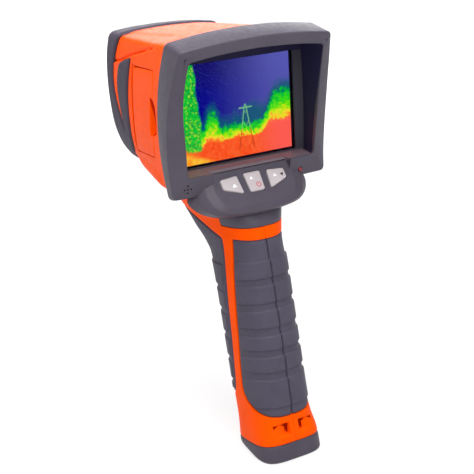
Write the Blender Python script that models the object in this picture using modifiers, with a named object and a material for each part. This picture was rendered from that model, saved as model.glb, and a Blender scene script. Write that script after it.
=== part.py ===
"""Hand-held thermal imaging camera with a pistol grip.

Stations are written in millimetres from the centre of the display window: X to the user's right,
Y forward towards the lens, Z up. place() turns them into metres in the object's own frame, whose
origin is the centre of the flat underside of the foot.
"""

import math

import bmesh
import bpy
from mathutils import Matrix, Vector

# ---------------------------------------------------------------- driving dimensions (mm)
FOOT_BELOW_SCREEN = 188.0
FOOT_BEHIND_SCREEN = 29.0
GAP = 0.3  # between pieces that touch
WALL = 2.2

HEAD_REAR, HEAD_FRONT = -16.0, 84.0  # stations of the head's two outlines
GUARD_FRONT = 93.0
GUARD_PROUD = 1.0

SCREEN_W, SCREEN_H = 71.2, 53.4  # 3.5 inch, 4:3
WINDOW_Y = -0.7
LENS_Z = 8.0

PANEL_TILT = math.radians(39.3)  # the key panel, from upright
PANEL_ORIGIN = Vector((0.0, -14.2, -32.4))
BUTTON_TRAVEL = 0.9

RAKE = math.radians(10.9)  # the handle, from upright
RUBBER = 1.8
RUBBER_BED = RUBBER + GAP
HANDLE_WALL = 3.9
COLLAR_TOP, COLLAR_BOTTOM = -58.9, -66.6
FOOT_LINE_REAR, FOOT_LINE_FRONT = -176.6, -186.2
FOOT_BOTTOM = -188.0
NECK_FRONT = -11.0

BATTERY_W, BATTERY_D, BATTERY_L = 24.0, 29.0, 84.0
TRIGGER_PIVOT = (14.0, -69.0)  # y, z

# Handle stations: height, half width, rear, front, squareness, narrowing towards the front.
HANDLE = (
    (-38.0, 25.0, -9.0, 64.0, 3.0, 0.10),
    (-50.0, 23.5, -21.5, 50.0, 2.8, 0.0),
    (-58.9, 20.6, -26.5, 40.0, 2.7, -0.08),
    (-66.0, 19.2, -27.6, 32.0, 2.6, -0.09),
    (-73.0, 17.8, -29.0, 24.5, 2.5, -0.04),
    (-80.0, 17.2, -30.6, 18.6, 2.5, 0.0),
    (-100.0, 17.2, -34.6, 12.3, 2.5, 0.0),
    (-120.0, 17.1, -38.7, 8.2, 2.5, 0.0),
    (-140.0, 17.1, -42.7, 4.0, 2.5, 0.0),
    (-155.0, 17.1, -45.4, 0.6, 2.6, 0.0),
    (-165.0, 17.2, -47.0, -2.4, 2.9, 0.04),
    (-176.0, 18.0, -49.6, -6.0, 3.4, 0.10),
    (-189.0, 18.6, -50.6, -8.0, 3.8, 0.12),
)

# Half outlines of the head, top centre to bottom centre: x, z, corner radius.
HEAD_REAR_HALF = (
    (0, 44.3, 0), (24, 43.3, 20), (42.9, 40.6, 3.2), (46.6, 22, 18), (47.8, -6, 20),
    (47.0, -30, 10), (43.8, -41.0, 4.5), (22, -43.8, 8), (0, -44.6, 0),
)
HEAD_FRONT_HALF = (
    (0, 36.7, 0), (17, 36.3, 14), (30.3, 34.9, 3.2), (33.2, 22, 12), (34.0, 2, 14),
    (32.3, -19, 8), (28.2, -31.6, 5), (20.5, -40.6, 4), (0, -42.6, 0),
)

# Where the dark bumper lies on the head, seen from the side: y, z.
BUMPER_SIDE = (
    (120, 60), (77, 60), (77, 39), (73, 35), (77.9, 27), (81.6, 13), (81.6, 6), (79.8, -0.6), (77.2, -6),
    (73, -13), (69, -18), (68, -17), (69.6, -9.3), (72.3, 1.9), (72.4, 10.5), (67.8, 20.5), (62, 23),
    (45.5, 26.6), (50.5, 12), (53.3, 0), (54.8, -12), (55.5, -24), (58, -32), (66, -38), (72, -60),
    (120, -60),
)
DOOR_SIDE = ((43.2, 23.0), (6.2, 25.4), (12.2, -21.6), (50.6, -26.2))
REAR_GRIP_SIDE = (
    (-80, COLLAR_BOTTOM), (-17.0, COLLAR_BOTTOM + 0.8), (-18.2, -90), (-20.2, -120), (-21.4, -148),
    (-23.2, -154.5), (-28.4, -158.2), (-36, -161), (-46, -162.6), (-80, -164),
)
FRONT_GRIP_SIDE = (
    (70, -50.5), (30, -56.0), (11.4, -60.0), (-9.7, -66.4), (-10.2, -75), (-10.6, -90), (-12.0, -112),
    (-13.3, -131), (-13.9, -148), (-13.0, -155), (-9, -160.5), (0, -163.5), (70, -165),
)
REAR_PADS = ((-77.0, -86.0), (-90.1, -99.3), (-103.6, -112.6), (-117.5, -124.6), (-128.8, -136.8),
             (-141.3, -156.5))
FRONT_PADS = ((-95.2, -104.4), (-108.4, -118.4), (-122.4, -132.2), (-136.2, -145.6), (-149.4, -157.5))
PAD_PROUD = 0.8

BUTTONS = {
    "button_left": ((-19.4, 0.8), (-9.1, 0.0), (-8.3, 10.7), (-19.5, 6.5)),
    "button_middle": ((-5.0, -0.5), (5.0, -0.5), (4.4, 10.7), (-4.4, 10.7)),
    "button_right": ((9.1, 0.0), (19.4, 0.8), (19.5, 6.5), (8.3, 10.7)),
}
CASE_SCREWS = ((70.0, 29.6), (62.0, -29.0), (20.0, 33.0), (27.0, -33.0), (-14.0, -73.0))
SCREW_HEAD_X = 11.5

# ---------------------------------------------------------------- scene and materials
for old in list(bpy.data.objects):
    bpy.data.objects.remove(old, do_unlink=True)

parts = bpy.data.collections.new("thermal_camera")
tools = bpy.data.collections.new("cutters")
bpy.context.scene.collection.children.link(parts)
bpy.context.scene.collection.children.link(tools)

FINISHES = {  # linear colour, roughness, metallic
    "orange": ((1.0, 0.085, 0.0), 0.32, 0.0),
    "dark": ((0.085, 0.078, 0.105), 0.5, 0.0),
    "rubber": ((0.088, 0.082, 0.105), 0.75, 0.0),
    "button": ((0.58, 0.52, 0.54), 0.45, 0.0),
    "glass": ((0.02, 0.03, 0.06), 0.05, 0.0),
    "germanium": ((0.25, 0.24, 0.26), 0.12, 0.8),
    "steel": ((0.55, 0.55, 0.56), 0.35, 1.0),
    "board": ((0.02, 0.16, 0.06), 0.6, 0.0),
    "black": ((0.015, 0.015, 0.018), 0.5, 0.0),
    "red": ((0.6, 0.01, 0.02), 0.2, 0.0),
    "white": ((0.8, 0.8, 0.78), 0.3, 0.0),
    "blue": ((0.03, 0.1, 0.4), 0.5, 0.0),
}


def place(x, y, z):
    """A station in millimetres from the window's centre, as a point in metres in the object's frame."""
    return Vector((x, y + FOOT_BEHIND_SCREEN, z + FOOT_BELOW_SCREEN)) * 0.001


def add(name, mesh, finish=None):
    obj = bpy.data.objects.new(name, mesh)
    if finish:
        parts.objects.link(obj)
        colour, rough, metal = FINISHES[finish]
        skin = bpy.data.materials.new(name)
        skin.use_nodes = True
        shader = skin.node_tree.nodes["Principled BSDF"]
        shader.inputs["Base Color"].default_value = (*colour, 1.0)
        shader.inputs["Roughness"].default_value = rough
        shader.inputs["Metallic"].default_value = metal
        obj.data.materials.append(skin)
    else:
        tools.objects.link(obj)
        obj.hide_render = True
        obj.display_type = "WIRE"
    return obj


def finished(bm, name, finish, smooth=True):
    bmesh.ops.recalc_face_normals(bm, faces=bm.faces)
    if bm.calc_volume(signed=True) < 0:
        bmesh.ops.reverse_faces(bm, faces=bm.faces)
    mesh = bpy.data.meshes.new(name)
    bm.to_mesh(mesh)
    bm.free()
    if smooth:
        mesh.shade_smooth()
        mesh.set_sharp_from_angle(angle=math.radians(35))
    return add(name, mesh, finish)


def combine(obj, other, operation):
    mod = obj.modifiers.new(operation.lower() + "_" + other.name, "BOOLEAN")
    mod.operation = operation
    mod.object = other
    mod.solver = "EXACT"
    return obj


def cut(obj, *cutters):
    for cutter in cutters:
        combine(obj, cutter, "DIFFERENCE")
    return obj


def join(obj, *others):
    for other in others:
        combine(obj, other, "UNION")
    return obj


def keep(obj, other):
    return combine(obj, other, "INTERSECT")


# ---------------------------------------------------------------- shapes
def loft(name, rings, finish=None, loop=False):
    """A skin over rings of equal count, closed by end faces, or round like a tyre when loop is set."""
    bm = bmesh.new()
    rows = [[bm.verts.new(place(*p)) for p in ring] for ring in rings]
    pairs = list(zip(rows, rows[1:]))
    if loop:
        pairs.append((rows[-1], rows[0]))
    for a, b in pairs:
        for i in range(len(a)):
            j = (i + 1) % len(a)
            bm.faces.new((a[i], a[j], b[j], b[i]))
    bmesh.ops.triangulate(bm, faces=bm.faces)
    if not loop:
        bm.faces.new(list(reversed(rows[0])))
        bm.faces.new(rows[-1])
    return finished(bm, name, finish)


def prism(name, outline, low, high, finish=None):
    """An outline of (y, z) drawn along X from low to high."""
    return loft(name, [[(x, y, z) for y, z in outline] for x in (low, high)], finish)


def box(name, low, high, finish=None, bevel=0.0):
    bm = bmesh.new()
    bmesh.ops.create_cube(bm, size=1.0)
    a, b = place(*low), place(*high)
    bmesh.ops.scale(bm, vec=b - a, verts=bm.verts)
    bmesh.ops.translate(bm, vec=(a + b) / 2, verts=bm.verts)
    obj = finished(bm, name, finish, smooth=False)
    if bevel:
        mod = obj.modifiers.new("rounded_edges", "BEVEL")
        mod.width = bevel * 0.001
        mod.segments = 1
    return obj


def rod(name, start, end, radius, finish=None, sides=16):
    """A round bar between two stations."""
    a, b = place(*start), place(*end)
    bm = bmesh.new()
    bmesh.ops.create_cone(bm, cap_ends=True, segments=sides, radius1=radius * 0.001, radius2=radius * 0.001,
                          depth=(b - a).length)
    turn = Vector((0, 0, 1)).rotation_difference(b - a).to_matrix().to_4x4()
    bmesh.ops.transform(bm, matrix=Matrix.Translation((a + b) / 2) @ turn, verts=bm.verts)
    return finished(bm, name, finish)


def turned(name, profile, finish=None, sides=32, centre=(0.0, LENS_Z)):
    """A closed profile of (radius, y) spun round the lens axis."""
    mesh = bpy.data.meshes.new(name)
    points = [(r * 0.001, 0.0, -y * 0.001) for r, y in profile]
    mesh.from_pydata(points, [(i, (i + 1) % len(points)) for i in range(len(points))], [])
    obj = add(name, mesh, finish)
    obj.location = place(centre[0], 0.0, centre[1])
    obj.rotation_euler = (math.radians(90), 0, 0)
    mod = obj.modifiers.new("spin", "SCREW")
    mod.axis = "Z"
    mod.angle = math.radians(360)
    mod.steps = sides
    mod.render_steps = sides
    mod.use_merge_vertices = True
    mod.merge_threshold = 0.00001
    mod.use_smooth_shade = True
    return obj


def filleted(half, steps):
    """The whole outline of a half outline, top centre to bottom centre, with its corners rounded."""
    whole = list(half) + [(-x, z, r) for x, z, r in reversed(half[1:-1])]
    count = len(whole)
    points = []
    for i, (x, z, r) in enumerate(whole):
        here = Vector((x, z))
        before = Vector(whole[i - 1][:2]) - here
        after = Vector(whole[(i + 1) % count][:2]) - here
        if r == 0:
            points.append(here)
            continue
        reach = min(r, before.length * 0.48, after.length * 0.48)
        a = here + before.normalized() * reach
        b = here + after.normalized() * reach
        for k in range(steps + 1):
            t = k / steps
            points.append(a * (1 - t) ** 2 + here * 2 * t * (1 - t) + b * t * t)
    return points


def swollen(half, offset):
    """A half outline with its flanks, top and bottom moved out by about an offset."""
    low, high = half[-1][1], half[0][1]
    middle, tall, wide = (low + high) / 2, (high - low) / 2, max(p[0] for p in half)
    return [(x * (1 + offset / wide), middle + (z - middle) * (1 + offset / tall), r) for x, z, r in half]


def grown(outline, distance):
    """An outline moved outwards by a distance along the bisector at each corner."""
    count = len(outline)
    area = sum(outline[i][0] * outline[(i + 1) % count][1] - outline[(i + 1) % count][0] * outline[i][1]
               for i in range(count))
    side = 1 if area > 0 else -1
    moved = []
    for i in range(count):
        here = Vector(outline[i])
        a = (here - Vector(outline[i - 1])).normalized()
        b = (Vector(outline[(i + 1) % count]) - here).normalized()
        normal_a, normal_b = Vector((a.y, -a.x)) * side, Vector((b.y, -b.x)) * side
        bisector = (normal_a + normal_b).normalized()
        moved.append(tuple(here + bisector * distance / max(0.35, bisector.dot(normal_a))))
    return moved


# ---------------------------------------------------------------- the head and the handle as surfaces
def head_ring(y, offset, steps=2):
    """The head's outline at a station, its flanks moved out by an offset."""
    t = (y - HEAD_REAR) / (HEAD_FRONT - HEAD_REAR)
    half = []
    for (xr, zr, rr), (xf, zf, rf) in zip(HEAD_REAR_HALF, HEAD_FRONT_HALF):
        half.append((xr + (xf - xr) * t, zr + (zf - zr) * t, rr + (rf - rr) * t))
    return [(p.x, y, p.y) for p in filleted(swollen(half, offset), steps)]


def head_loft(name, offset, rear=HEAD_REAR, front=HEAD_FRONT, finish=None):
    stations = [rear] + [y for y in (HEAD_REAR, 34, HEAD_FRONT) if rear < y < front] + [front]
    return loft(name, [head_ring(y, offset) for y in stations], finish)


def handle_at(z):
    above = max((s for s in HANDLE if s[0] >= z), key=lambda s: -s[0], default=HANDLE[0])
    below = min((s for s in HANDLE if s[0] <= z), key=lambda s: -s[0], default=HANDLE[-1])
    t = 0 if above[0] == below[0] else (above[0] - z) / (above[0] - below[0])
    return [a + (b - a) * t for a, b in zip(above, below)]


def handle_ring(z, offset, count=32):
    _, half, rear, front, square, narrowing = handle_at(z)
    middle, deep = (rear + front) / 2, (front - rear) / 2
    ring = []
    for i in range(count):
        turn = 2 * math.pi * i / count
        c, s = math.cos(turn), math.sin(turn)
        across = math.copysign(abs(c) ** (2 / square), c)
        along = math.copysign(abs(s) ** (2 / square), s)
        shrink = 1 - narrowing * along
        ring.append((across * shrink * (half + offset), middle + along * (deep + offset), z))
    return ring


def handle_loft(name, offset, top=-38.0, bottom=-189.0, pads=(), finish=None):
    """The handle's surface moved out by an offset, with raised bands between the heights in pads."""
    heights = {h[0]: offset for h in HANDLE if bottom <= h[0] <= top}
    heights[top] = heights[bottom] = offset
    for high, low in pads:
        for z in [z for z in heights if low <= z <= high]:
            heights[z] = offset + PAD_PROUD
        heights[high + 0.5], heights[low - 0.5] = offset, offset
        heights[high - 0.5], heights[low + 0.5] = offset + PAD_PROUD, offset + PAD_PROUD
    return loft(name, [handle_ring(z, heights[z]) for z in sorted(heights)], finish)


def hood_front(z):
    """How far forward the hood's front edge lies at a height."""
    if z > -10:
        return -4.3 - 7.6 * ((z + 10) / 50) ** 2
    return -4.3 - 3.2 * ((z + 10) / 28.6) ** 2


def hood_rear(z):
    """The hood's rear arris, which sweeps back over the display as a visor."""
    return -13.4 - 15.5 * max(0.0, (z + 27) / 66) ** 1.9 - 0.8 * max(0.0, (-30 - z) / 9)


def rim_rear(z):
    """The inner edge of the hood's rim, a little behind the arris."""
    return hood_rear(z) - 2.5 - 2.1 * math.exp(-(((z + 12) / 18) ** 2))


# ---------------------------------------------------------------- the key panel's own plane
PANEL_DOWN = Vector((0.0, -math.sin(PANEL_TILT), -math.cos(PANEL_TILT)))
PANEL_OUT = Vector((0.0, -math.cos(PANEL_TILT), math.sin(PANEL_TILT)))


def on_panel(x, down, out):
    p = PANEL_ORIGIN + PANEL_DOWN * down + PANEL_OUT * out
    return (x, p.y, p.z)


def panel_block(name, outline, low, high, finish=None, draft=0.0):
    """An outline of (x, down) raised along the panel's normal from low to high."""
    inner = grown(outline, -draft) if draft else outline
    return loft(name, [[on_panel(x, d, low) for x, d in outline], [on_panel(x, d, high) for x, d in inner]],
                finish)


def both_sides(half):
    return list(half) + [(-x, d) for x, d in reversed(half) if x > 0]


# ---------------------------------------------------------------- shared tools
left_clear = box("left_clear", (-80, -90, -210), (0.15, 140, 80))
right_clear = box("right_clear", (-0.15, -90, -210), (80, 140, 80))

head_outer = head_loft("head_outer", 0.0)
head_inner = head_loft("head_inner", -WALL, HEAD_REAR - 5, HEAD_FRONT - 3.8)
handle_outer = handle_loft("handle_outer", 0.0)
handle_inner = handle_loft("handle_inner", -HANDLE_WALL, top=-36.0, bottom=-93.0)

# The rear cover takes everything behind this line, seen from the side.
LINE_HEIGHTS = (60, 46, 38, 26, 14, 2, -10, -24, -33, -41)
REAR_LINE = [(hood_front(z) + GAP, z) for z in LINE_HEIGHTS] + [
    (-9.5, -44), (NECK_FRONT + GAP, -50), (NECK_FRONT + GAP, COLLAR_TOP - GAP), (-90, COLLAR_TOP - GAP),
    (-90, 60),
]
rear_region = prism("rear_region", REAR_LINE, -80, 80)

BATTERY_AXIS = Vector((0.0, -math.sin(RAKE), -math.cos(RAKE)))
BATTERY_FORWARD = Vector((0.0, math.cos(RAKE), -math.sin(RAKE)))
BATTERY_FOOT = Vector((0.0, -26.6, -182.0))


def battery_bar(name, half_w, half_d, low, high, finish=None, corner=3.0):
    """A bar along the battery's axis with bevelled corners; low and high count up from its foot."""
    section = [(half_w - corner, half_d), (half_w, half_d - corner), (half_w, corner - half_d),
               (half_w - corner, -half_d), (corner - half_w, -half_d), (-half_w, corner - half_d),
               (-half_w, half_d - corner), (corner - half_w, half_d)]
    rings = []
    for up in (low, high):
        centre = BATTERY_FOOT - BATTERY_AXIS * up
        rings.append([tuple(centre + Vector((x, 0, 0)) + BATTERY_FORWARD * d) for x, d in section])
    return loft(name, rings, finish)


battery_bay = battery_bar("battery_bay", BATTERY_W / 2 + 0.6, BATTERY_D / 2 + 0.6, -20, BATTERY_L + 12)


def foot_line(y):
    """The height of the joint between the orange foot and the battery's cap."""
    return FOOT_LINE_REAR + (FOOT_LINE_FRONT - FOOT_LINE_REAR) * (y + 52.0) / 47.0


below_foot = prism("below_foot", [(-90, foot_line(-90)), (60, foot_line(60)), (60, -230), (-90, -230)], -60, 60)

bumper_bed = cut(prism("bumper_bed", grown(BUMPER_SIDE, GAP), -70, 70),
                 head_loft("bumper_floor", -1.3, HEAD_REAR - 10, 130))
rear_grip_bed = cut(prism("rear_grip_bed", grown(REAR_GRIP_SIDE, GAP), -40, 40),
                    handle_loft("rear_grip_floor", -RUBBER_BED))
front_grip_bed = cut(prism("front_grip_bed", grown(FRONT_GRIP_SIDE, GAP), -40, 40),
                     handle_loft("front_grip_floor", -RUBBER_BED))

strap_tunnel = box("strap_tunnel", (-12, -45.9, -172.2), (12, -41.1, -166.8))


def strap_scoop(name, sign):
    """A wedge pocket beside the central strap bar, steep at the bar and running out sideways."""
    mouth = [(sign * 3.6, -60, -166.0), (sign * 13, -60, -165.2), (sign * 13, -60, -172.6),
             (sign * 3.6, -60, -173.5)]
    floor = [(sign * 3.6, -41.1, -166.8), (sign * 11, -41.1, -166.8), (sign * 11, -41.1, -172.2),
             (sign * 3.6, -41.1, -172.2)]
    return loft(name, [mouth, floor])


strap_scoops = [strap_scoop("strap_scoop_left", -1), strap_scoop("strap_scoop_right", 1)]

trigger_slot = box("trigger_slot", (-5.9, 4.0, -91.0), (5.9, 60, -65.4))
trigger_pin_hole = rod("trigger_pin_hole", (-9.6, *TRIGGER_PIVOT), (9.6, *TRIGGER_PIVOT), 1.2, sides=12)
front_seat = head_loft("front_seat", -2.9, HEAD_FRONT - 6, HEAD_FRONT + 20)

# The port door is hinged along its front edge, on a pin just under the flank.
DOOR_PIN_TOP = Vector((-38.0, 41.3, 23.6))
DOOR_PIN_FOOT = Vector((-36.2, 48.7, -25.6))
DOOR_PIN_R, KNUCKLE_R = 0.8, 1.9
BAY_FLOOR_X = -29.5
bay_outline = [(40.0, 19.5), (19.5, 20.5), (19.5, -19.0), (45.5, -22.5)]


def along_pin(t):
    return tuple(DOOR_PIN_TOP.lerp(DOOR_PIN_FOOT, t))


knuckle_room = rod("knuckle_room", along_pin(-0.034), along_pin(1.037), KNUCKLE_R + 0.75, sides=16)
pin_hole = rod("pin_hole", along_pin(-0.08), along_pin(1.08), DOOR_PIN_R + 0.3, sides=12)
bay_room = prism("bay_room", bay_outline, -60, BAY_FLOOR_X)
head_trim = head_loft("head_trim", -0.4)
handle_trim = handle_loft("handle_trim", -RUBBER_BED - 0.3)
door_opening = cut(prism("door_opening", grown(DOOR_SIDE, GAP), -60, -28), head_loft("door_floor", -2.3))
join(door_opening, bay_room, knuckle_room)

# Ports on the bay's floor: name, y, z, half width, half height.
PORTS = (
    ("usb_socket", 30.0, 12.0, 2.0, 4.4, "steel"),
    ("video_socket", 30.0, 1.0, 3.4, 3.4, "black"),
    ("power_jack", 30.0, -11.0, 4.2, 4.2, "black"),
    ("memory_card", 39.5, 0.0, 1.1, 11.0, "blue"),
)
port_holes = [box(f"{p[0]}_hole", (-60, p[1] - p[3] - GAP, p[2] - p[4] - GAP),
                  (-26, p[1] + p[3] + GAP, p[2] + p[4] + GAP)) for p in PORTS]


def port_bay_walls():
    """The rim that the door seats on and the tray behind it, trimmed to the head's flank."""
    rim = keep(prism("door_rim", grown(DOOR_SIDE, 1.6), -60, -30), head_trim)
    cut(rim, head_loft("rim_back", -4.6))
    tray = keep(prism("bay_tray", grown(bay_outline, 1.8), -60, BAY_FLOOR_X + 2.0), head_trim)
    return join(rim, tray)


# ---------------------------------------------------------------- display hood: visor, chin and neck
ARRIS = ((0, 42.2, 0), (22, 41.6, 14), (44.0, 39.0, 2.2), (46.7, 24, 12), (48.2, 4, 18), (48.0, -16, 16),
         (46.6, -39.0, 2.5), (20, -39.6, 6), (0, -39.6, 0))
HOOD_FRONT = ((0, 45.9, 0), (22, 45.2, 14), (44.4, 41.9, 2.8), (46.9, 24, 12), (48.0, 4, 18), (47.8, -16, 16),
              (46.2, -40.6, 3), (20, -41, 6), (0, -41, 0))
RIM = ((0, 36.2, 0), (22, 35.4, 14), (39.3, 33.2, 2), (40.3, 20, 12), (40.5, 6, 12), (39.2, -12, 12),
       (38.3, -28, 2), (20, -28.4, 6), (0, -28.4, 0))
RECESS = ((0, 35, 0), (22, 34.2, 14), (40.2, 32.4, 2), (41, 20, 12), (41.2, 6, 12), (41, -12, 12),
          (40.4, -28.2, 2), (20, -28.4, 6), (0, -28.4, 0))
EDGE_X, EDGE_Z = SCREEN_W / 2 + 0.7, SCREEN_H / 2 + 0.7
WINDOW_EDGE = ((0, EDGE_Z, 0), (20, EDGE_Z, 5), (EDGE_X, EDGE_Z, 0.8), (EDGE_X, 14, 5), (EDGE_X, 4, 4),
               (EDGE_X, -12, 5), (EDGE_X, -EDGE_Z, 0.8), (20, -EDGE_Z, 5), (0, -EDGE_Z, 0))


def hood_ring(half, depth, offset=0.0):
    """A ring of the hood; depth is a station or a function of height."""
    points = filleted(swollen(half, offset), 2)
    return [(p.x, depth(p.y) if callable(depth) else depth, p.y) for p in points]


CHIN_FACE = ((0, -5.0), (24.2, -5.0), (24.6, 2), (24.6, 10), (23, 17.5), (20, 20.8), (14, 22.4), (0, 22.8))
CHIN_SKIRT = ((0, -4.8), (26, -4.8), (28.5, 3), (29.5, 11), (27, 19.0), (22, 22.4), (15, 23.6), (0, 24))
CHIN_ROOT = ((0, -3), (28, -3), (31, 3), (31, 9), (28, 14), (22, 16.4), (15, 17.6), (0, 18))
KEY_ROOM = ((0, -2.0), (21.5, -2.0), (21.5, 10), (20, 16), (14, 19), (0, 19.6))
LED_AT, SPEAKER_AT = (30.5, -35.6), (-38.5, -34.0)


def chin_ring(half, out, offset=0.0):
    return [on_panel(x, d, out) for x, d in grown(both_sides(half), offset)]


hood_clearance = loft("hood_clearance", [hood_ring(RECESS, -20, 1.9), hood_ring(RECESS, -0.6, 1.9)])
chin_clearance = loft("chin_clearance", [chin_ring(CHIN_ROOT, -11.4, 0.4), chin_ring(CHIN_SKIRT, -4.5, 0.4),
                                         chin_ring(CHIN_FACE, 2, 0.4)])


# ---------------------------------------------------------------- housings
def housing(name, side):
    shell = head_loft(name, 0.0, finish="orange")
    join(shell, handle_outer)
    cut(shell, head_inner, handle_inner)
    sign = -1 if side == "left" else 1
    for i, (y, z) in enumerate(CASE_SCREWS):
        trim = handle_trim if z < -50 else head_trim
        join(shell, keep(rod(f"boss_{side}_{i}", (0, y, z), (sign * 50, y, z), 3.7, sides=12), trim))
        if side == "left":
            cut(shell, rod(f"thread_hole_{i}", (5, y, z), (-9.5, y, z), 1.5, sides=10))
        else:
            cut(shell, rod(f"clearance_{i}", (-5, y, z), (30, y, z), 1.5, sides=10))
            cut(shell, rod(f"counterbore_{i}", (SCREW_HEAD_X - GAP, y, z), (70, y, z), 2.9, sides=12))
    cheek = keep(rod(f"trigger_cheek_{side}", (sign * 6.2, *TRIGGER_PIVOT), (sign * 30, *TRIGGER_PIVOT), 3.2,
                     sides=12), handle_trim)
    join(shell, cheek)
    if side == "left":
        join(shell, port_bay_walls())
        cut(shell, door_opening, pin_hole, *port_holes)
    cut(shell, rear_region, hood_clearance, chin_clearance, bumper_bed, rear_grip_bed, front_grip_bed,
        battery_bay, below_foot, strap_tunnel, *strap_scoops, trigger_slot, front_seat, trigger_pin_hole)
    return cut(shell, right_clear if side == "left" else left_clear)


housing("housing_left", "left")
housing("housing_right", "right")


def display_hood():
    hood = loft("display_hood", [
        hood_ring(HOOD_FRONT, hood_front), hood_ring(ARRIS, hood_rear), hood_ring(RIM, rim_rear),
        hood_ring(RECESS, -3.5), hood_ring(WINDOW_EDGE, -2.2), hood_ring(WINDOW_EDGE, -1.0),
        hood_ring(RECESS, -1.0, 1.4), hood_ring(RECESS, lambda z: hood_rear(z) + 7, 1.4),
        hood_ring(ARRIS, lambda z: hood_rear(z) + 7, -2.2), hood_ring(HOOD_FRONT, hood_front, -2.2),
    ], "dark", loop=True)
    cut(hood, panel_block("panel_sweep", both_sides(((0, -14), (23.6, -14), (23.6, 30), (0, 30))), -1.2, 16))
    chin = loft("chin", [chin_ring(CHIN_ROOT, -11), chin_ring(CHIN_SKIRT, -4.5), chin_ring(CHIN_FACE, 0)])
    neck = handle_loft("neck", 0.0, top=-43.0, bottom=COLLAR_TOP)
    cut(neck, box("neck_front", (-40, NECK_FRONT, -80), (40, 80, -20)))
    join(chin, neck)
    cut(chin, handle_loft("neck_hollow", -WALL, top=-46.0, bottom=-70.0))
    join(hood, chin)
    cut(hood, panel_block("key_room", both_sides(KEY_ROOM), -15, -2.0))
    for name, outline in BUTTONS.items():
        cut(hood, panel_block(name + "_hole", grown(outline, GAP), -4, 4))
    cut(hood, rod("led_hole", (LED_AT[0], -20, LED_AT[1]), (LED_AT[0], 0, LED_AT[1]), 1.5, sides=12))
    for i, (dx, dz) in enumerate(((0, 0), (-2, 0), (2, 0), (0, -2), (0, 2))):
        x, z = SPEAKER_AT[0] + dx, SPEAKER_AT[1] + dz
        cut(hood, rod(f"speaker_hole_{i}", (x, -20, z), (x, -4, z), 0.5, sides=6))
    return hood


display_hood()

# ---------------------------------------------------------------- keys
for name, outline in BUTTONS.items():
    key = panel_block(name, outline, -2.6, 1.1, "button", draft=0.35)
    join(key, panel_block(name + "_flange", grown(outline, 0.9), -3.3, -2.3))
keypad_outline = both_sides(((0, -0.5), (21.2, -0.5), (21.2, 10), (19.5, 15), (0, 15)))
panel_block("keypad_membrane", keypad_outline, -5.3, -4.6, "rubber")
panel_block("keypad_board", keypad_outline, -6.9, -5.6, "board")
rod("status_led", (LED_AT[0], -15.4, LED_AT[1]), (LED_AT[0], -7, LED_AT[1]), 1.15, "red", 12)
speaker_x, speaker_z = SPEAKER_AT[0] + 3, SPEAKER_AT[1] + 0.2
rod("speaker", (speaker_x, -3.4, speaker_z), (speaker_x, -0.6, speaker_z), 3.1, "black", 20)

# ---------------------------------------------------------------- bumper and grips
bumper = prism("front_bumper", BUMPER_SIDE, -70, 70, "dark")
keep(bumper, head_loft("bumper_skin", GUARD_PROUD, HEAD_REAR - 10, GUARD_FRONT))
cut(bumper, head_loft("bumper_back", -1.0, HEAD_REAR - 20, HEAD_FRONT + GAP),
    head_loft("bumper_mouth", -4.6, HEAD_FRONT - 5, HEAD_FRONT + 30))


def grip(name, outline, pads, *cutters):
    rubber = prism(name, outline, -40, 40, "rubber")
    keep(rubber, handle_loft(name + "_skin", 0.0, pads=pads))
    return cut(rubber, handle_loft(name + "_back", -RUBBER), *cutters)


grip("rear_grip_left", REAR_GRIP_SIDE, REAR_PADS, right_clear)
grip("rear_grip_right", REAR_GRIP_SIDE, REAR_PADS, left_clear)
grip("front_grip", FRONT_GRIP_SIDE, FRONT_PADS, trigger_slot)

# ---------------------------------------------------------------- front bezel, lens and aiming aids
bezel = head_loft("front_bezel", -3.2, 80.4, 83.4, "dark")
AIDS = (("visible_camera", -12.0, -26.0, 5.0, "black"), ("lamp_led", 12.0, -26.0, 5.0, "white"),
        ("laser_module", 0.0, -31.0, 2.6, "steel"))
cut(bezel, rod("lens_hole", (0, 70, LENS_Z), (0, 95, LENS_Z), 17.9, sides=32))
for name, x, z, radius, finish in AIDS:
    cut(bezel, rod(name + "_hole", (x, 70, z), (x, 95, z), radius + GAP))
    rod(name, (x, 72, z), (x, 84.0, z), radius, finish, 20)

turned("lens_barrel", ((14, 48.5), (17.5, 48.5), (17.5, 83.7), (23, 83.7), (23, 85.2), (16.5, 85.2), (16.5, 91),
                       (14, 91)), "black")
ring = turned("focus_ring", ((16.85, 85.5), (21.4, 85.5), (22, 86.1), (22, 90.1), (21.4, 90.7), (16.85, 90.7)),
              "rubber")
join(ring, box("focus_tab", (-2.2, 86.3, LENS_Z + 20.5), (2.2, 89.9, LENS_Z + 23.6)))
turned("lens_retainer", ((13.4, 91.3), (20.4, 91.3), (20.4, 92.3), (14.6, 92.3)), "black")
turned("front_lens", ((0.4, 84.8), (13.6, 84.8), (13.6, 87.3), (9.4, 88.3), (4.8, 88.9), (0.4, 89.1)),
       "germanium")
turned("rear_lens", ((0.4, 54.0), (13.6, 54.0), (13.6, 56.4), (7, 57.4), (0.4, 57.7)), "germanium")

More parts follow.
